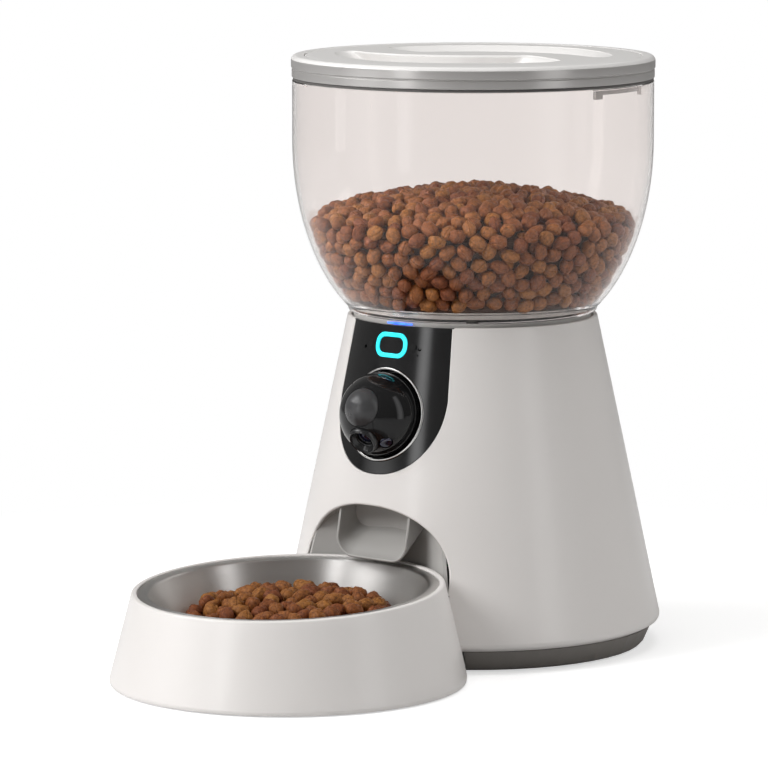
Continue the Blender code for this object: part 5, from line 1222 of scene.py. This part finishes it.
for angle in (0, 120, 240):
    spot = Vector((0.0975 * math.sin(math.radians(angle)), -0.0975 * math.cos(math.radians(angle)), 0))
    carve(holder, turned("pad_seat", [(0, -0.001), (0.0053, -0.001), (0.0053, 0.002), (0, 0.002)],
                         Matrix.Translation(BOWL + spot), 48))
holder = merged("bowl_holder_skin", [holder, tongue])
holder.data.materials.append(white_abs)
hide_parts("bowl_holder")
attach(holder, "bowl")
for name in ("holder_pad_1", "holder_pad_2", "holder_pad_3"):
    nodes[name].data.materials[0] = rubber

# Steel bowl and its food
# A bowl spun from 0.8 mm stainless steel with a flat flange. The spinning leaves fine rings all round it,
# which draw the light into fans across the wall.
STEEL = 0.0008
bowl_top = rebate_z + 0.0003 + STEEL
bowl_floor = bowl_top - 0.042
foot_r = mouth_r - 0.007
inside = [(flange_r, bowl_top - 0.0003), (flange_r - 0.0003, bowl_top), (mouth_r + 0.0016, bowl_top)]
inside += arc(mouth_r + 0.0016, bowl_top - 0.0016, 0.0016, 90, 175, 8)[1:]
inside += arc(foot_r - 0.022, bowl_floor + 0.022, 0.022, -2, -90, 20)
inside += [(0.040, bowl_floor), (0.026, bowl_floor), (0.013, bowl_floor), (0, bowl_floor)]
outside = [(0, bowl_floor - STEEL), (0.026, bowl_floor - STEEL), (0.040, bowl_floor - STEEL)]
outside += arc(foot_r - 0.022, bowl_floor + 0.022, 0.022 + STEEL, -90, -2, 20)
outside += arc(mouth_r + 0.0016, bowl_top - 0.0016, 0.0016 - STEEL, 175, 90, 8)[:-1]
outside += [(mouth_r + 0.0030, bowl_top - STEEL), (flange_r, bowl_top - STEEL)]
steel_bowl = turned("steel_bowl_skin", spaced(inside + outside, 0.006), Matrix.Translation(BOWL), 256,
                    lambda z: RIM_TILT, 50)
steel, tree, shader, where = node_material("spun_stainless_steel")
from_axis = tree.nodes.new("ShaderNodeVectorMath")
from_axis.operation = "SUBTRACT"
from_axis.inputs[1].default_value = BOWL
tree.links.new(where, from_axis.inputs[0])
flat = tree.nodes.new("ShaderNodeVectorMath")
flat.operation = "MULTIPLY"
flat.inputs[1].default_value = (1, 1, 0)
tree.links.new(from_axis.outputs["Vector"], flat.inputs[0])
reach_from = tree.nodes.new("ShaderNodeVectorMath")
reach_from.operation = "LENGTH"
tree.links.new(flat.outputs["Vector"], reach_from.inputs[0])
heights_only = tree.nodes.new("ShaderNodeSeparateXYZ")
tree.links.new(from_axis.outputs["Vector"], heights_only.inputs["Vector"])
ring_place = tree.nodes.new("ShaderNodeCombineXYZ")
tree.links.new(reach_from.outputs["Value"], ring_place.inputs["X"])
tree.links.new(heights_only.outputs["Z"], ring_place.inputs["Y"])
spun = noise(tree, ring_place.outputs["Vector"], 1500.0, 4.0, 0.7)
shader.inputs["Metallic"].default_value = 1.0
tree.links.new(ramp(tree, noise(tree, where, 22.0, 4.0), [(0.3, (0.68, 0.665, 0.65)),
                                                          (0.7, (0.76, 0.75, 0.735))]),
               shader.inputs["Base Color"])
tree.links.new(spread(tree, spun, 0.34, 0.46), shader.inputs["Roughness"])
shader.inputs["Anisotropic"].default_value = 0.85
shader.inputs["Anisotropic Rotation"].default_value = 0.25
grain_way = tree.nodes.new("ShaderNodeTangent")
grain_way.direction_type = "RADIAL"
grain_way.axis = "Z"
tree.links.new(grain_way.outputs["Tangent"], shader.inputs["Tangent"])
bump(tree, shader, spun, 0.000012, 0.6)
steel_bowl.data.materials.append(steel)
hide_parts("steel_bowl")
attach(steel_bowl, "bowl")

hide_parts("hopper_kibble")
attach(heap, "hopper")


def bowl_heap(inset):
    """Top of the bowl's food, as an outline from its foot to its peak."""
    points = []
    for step in range(15):
        r = 0.070 * (1 - step / 14)
        fall = 0.0045 * (r / 0.056) ** 2 + 0.020 * (max(r - 0.046, 0) / 0.024) ** 2
        points.append((r, HOLDER_HEIGHT - 0.0050 - inset - fall))
    return points


serving = []
for number, (inset, size) in enumerate(((0.0030, 0.0112), (0.0100, 0.0112))):
    top = bowl_heap(inset)
    serving.append(heaped("bowl_layer", top + [(0, top[0][1] - 0.0015),
                                               (top[0][0] - 0.001, top[0][1] - 0.0015)],
                          Matrix.Translation(BOWL), {**fine, "Piece Size": size, "Spacing": 0.0098,
                                                     "Lump Height": 0.0042}, 64, lambda z: RIM_TILT,
                          seed=21 + number))
# The bowl's core is the same dark painted shade under its pieces, darkening the gaps between them.
core_top = bowl_heap(0.011)
serving.append(turned("bowl_core", core_top + [(0, bowl_floor + 0.001), (0.045, bowl_floor + 0.001),
                                               (0.060, bowl_floor + 0.004)],
                      Matrix.Translation(BOWL), 64, lambda z: RIM_TILT))
serving[-1].data.materials.append(kibble_gap_shade)


def bowl_wall(height):
    """Inner radius of the bowl at a height over its own floor."""
    if height >= 0.022:
        return foot_r
    return foot_r - 0.022 + math.sqrt(max(0.022 ** 2 - (0.022 - height) ** 2, 0))


for layer in serving:
    for vertex in layer.data.vertices:
        x, y, z = vertex.co - BOWL
        z = max(z, bowl_floor + 0.0006 + y * RIM_TILT)
        r, most = math.hypot(x, y), bowl_wall(z - y * RIM_TILT - bowl_floor) - 0.0007
        if r > most:
            x, y = x * most / r, y * most / r
        vertex.co = Vector((x, y, z)) + BOWL
serving = merged("bowl_kibble_pieces", serving)
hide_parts("bowl_kibble")
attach(serving, "bowl")

# Studio
# The floor and the background are plain and pale. Large soft lamps stand round the feeder, and the
# camera stands where the photograph was taken from.
floor_mesh = bpy.data.meshes.new("floor")
floor_mesh.from_pydata([(-6, -6, 0), (6, -6, 0), (6, 6, 0), (-6, 6, 0)], [], [(0, 1, 2, 3)])
floor = bpy.data.objects.new("floor", floor_mesh)
bpy.context.scene.collection.objects.link(floor)
paper, tree, shader, where = node_material("white_paper")
shader.inputs["Base Color"].default_value = (0.70, 0.70, 0.70, 1)
shader.inputs["Roughness"].default_value = 0.95
shader.inputs["Specular IOR Level"].default_value = 0.0
lift = tree.nodes.new("ShaderNodeEmission")
lift.inputs["Color"].default_value = (1, 1, 1, 1)
lift.inputs["Strength"].default_value = 0.57
lifted = tree.nodes.new("ShaderNodeAddShader")
tree.links.new(shader.outputs["BSDF"], lifted.inputs[0])
tree.links.new(lift.outputs["Emission"], lifted.inputs[1])
plain = tree.nodes.new("ShaderNodeEmission")
plain.inputs["Color"].default_value = (1, 1, 1, 1)
plain.inputs["Strength"].default_value = 1.0
far = tree.nodes.new("ShaderNodeVectorMath")
far.operation = "LENGTH"
tree.links.new(where, far.inputs[0])
apart = tree.nodes.new("ShaderNodeMixShader")
tree.links.new(spread(tree, far.outputs["Value"], 0.0, 1.0, 0.30, 0.60), apart.inputs["Fac"])
tree.links.new(lifted.outputs["Shader"], apart.inputs[1])
tree.links.new(plain.outputs["Emission"], apart.inputs[2])
rays = tree.nodes.new("ShaderNodeLightPath")
seen_by = tree.nodes.new("ShaderNodeMath")
seen_by.operation = "MAXIMUM"
tree.links.new(rays.outputs["Is Camera Ray"], seen_by.inputs[0])
tree.links.new(rays.outputs["Is Transmission Ray"], seen_by.inputs[1])
split = tree.nodes.new("ShaderNodeMixShader")
tree.links.new(seen_by.outputs["Value"], split.inputs["Fac"])
tree.links.new(shader.outputs["BSDF"], split.inputs[1])
tree.links.new(apart.outputs["Shader"], split.inputs[2])
tree.links.new(split.outputs["Shader"], tree.nodes["Material Output"].inputs["Surface"])
floor_mesh.materials.append(paper)

world = bpy.data.worlds.new("studio")
bpy.context.scene.world = world
world.use_nodes = True
tree = world.node_tree
soft = tree.nodes["Background"]
soft.inputs["Color"].default_value = (1, 0.985, 0.96, 1)
soft.inputs["Strength"].default_value = 0.22
seen = tree.nodes.new("ShaderNodeBackground")
seen.inputs["Color"].default_value = (1, 1, 1, 1)
seen.inputs["Strength"].default_value = 1.0
rays = tree.nodes.new("ShaderNodeLightPath")
mix = tree.nodes.new("ShaderNodeMixShader")
either = tree.nodes.new("ShaderNodeMath")
either.operation = "MAXIMUM"
tree.links.new(rays.outputs["Is Camera Ray"], either.inputs[0])
tree.links.new(rays.outputs["Is Transmission Ray"], either.inputs[1])
tree.links.new(either.outputs["Value"], mix.inputs["Fac"])
tree.links.new(soft.outputs["Background"], mix.inputs[1])
tree.links.new(seen.outputs["Background"], mix.inputs[2])
tree.links.new(mix.outputs["Shader"], tree.nodes["World Output"].inputs["Surface"])


def lamp(name, place, aim, width, height, power, mirrored=True):
    """A soft rectangular lamp that looks at a point. mirrored says whether shiny pieces show it."""
    light = bpy.data.lights.new(name, "AREA")
    light.shape = "RECTANGLE"
    light.size = width
    light.size_y = height
    light.energy = power
    made = bpy.data.objects.new(name, light)
    made.location = place
    made.rotation_euler = (Vector(aim) - Vector(place)).to_track_quat("-Z", "Y").to_euler()
    made.visible_glossy = mirrored
    bpy.context.scene.collection.objects.link(made)


lamp("key", (-1.15, -2.2, 1.8), (0, 0, 0.15), 1.5, 1.5, 62, False)
lamp("top", (0.1, -0.2, 2.4), (0, 0, 0.2), 1.6, 1.6, 20, False)
lamp("left_fill", (-2.2, -1.5, 0.9), (0, 0, 0.2), 0.5, 1.8, 10, False)
lamp("right_edge", (2.3, 0.95, 0.9), (0, 0, 0.2), 0.35, 1.8, 3.5, False)
lamp("rim", (1.6, 2.2, 1.5), (0, 0, 0.2), 1.0, 1.6, 16, False)


def card(name, azimuth, distance, width, low, high, strength):
    """A bright card that only shiny surfaces show. It is brightest down its middle and fades to its sides."""
    away = Vector((math.sin(math.radians(azimuth)), -math.cos(math.radians(azimuth)), 0))
    across = Vector((away.y, -away.x, 0))
    columns = 12
    points = []
    for step in range(columns + 1):
        foot = away * distance + across * width * (step / columns - 0.5)
        points += [(foot.x, foot.y, low), (foot.x, foot.y, high)]
    mesh = bpy.data.meshes.new(name)
    mesh.from_pydata(points, [], [(2 * s, 2 * s + 2, 2 * s + 3, 2 * s + 1) for s in range(columns)])
    fade = mesh.attributes.new("fade", "FLOAT", "POINT")
    for index in range(len(points)):
        fade.data[index].value = math.sin(math.pi * (index // 2) / columns) ** 1.2
    made = bpy.data.objects.new(name, mesh)
    bpy.context.scene.collection.objects.link(made)
    made.visible_camera = made.visible_diffuse = made.visible_transmission = made.visible_shadow = False
    look, tree, shader, _ = node_material(name)
    shine = tree.nodes.new("ShaderNodeEmission")
    shine.inputs["Strength"].default_value = strength
    faded = tree.nodes.new("ShaderNodeAttribute")
    faded.attribute_name = "fade"
    tree.links.new(faded.outputs["Fac"], shine.inputs["Color"])
    tree.links.new(shine.outputs["Emission"], tree.nodes["Material Output"].inputs["Surface"])
    mesh.materials.append(look)


card("panel_card", -4, 1.5, 0.42, 0.0, 1.6, 3.4)
card("low_left_card", -32, 1.3, 1.1, 0.0, 0.40, 1.5)
card("high_left_card", -48, 1.3, 1.7, 0.9, 2.0, 4.6)
card("right_card", 92, 1.2, 0.55, 0.0, 1.6, 1.7)

camera = bpy.data.objects.new("camera", bpy.data.cameras.new("camera"))
camera.data.sensor_width = 36.0
camera.data.lens = 227.42
camera.location = (1.8469, -2.2255, 0.56985)
camera.rotation_euler = (math.radians(82.091), 0, math.radians(39.7285))
camera.data.clip_end = 60
bpy.context.scene.collection.objects.link(camera)
bpy.context.scene.camera = camera
bpy.context.scene.view_settings.view_transform = "Standard"
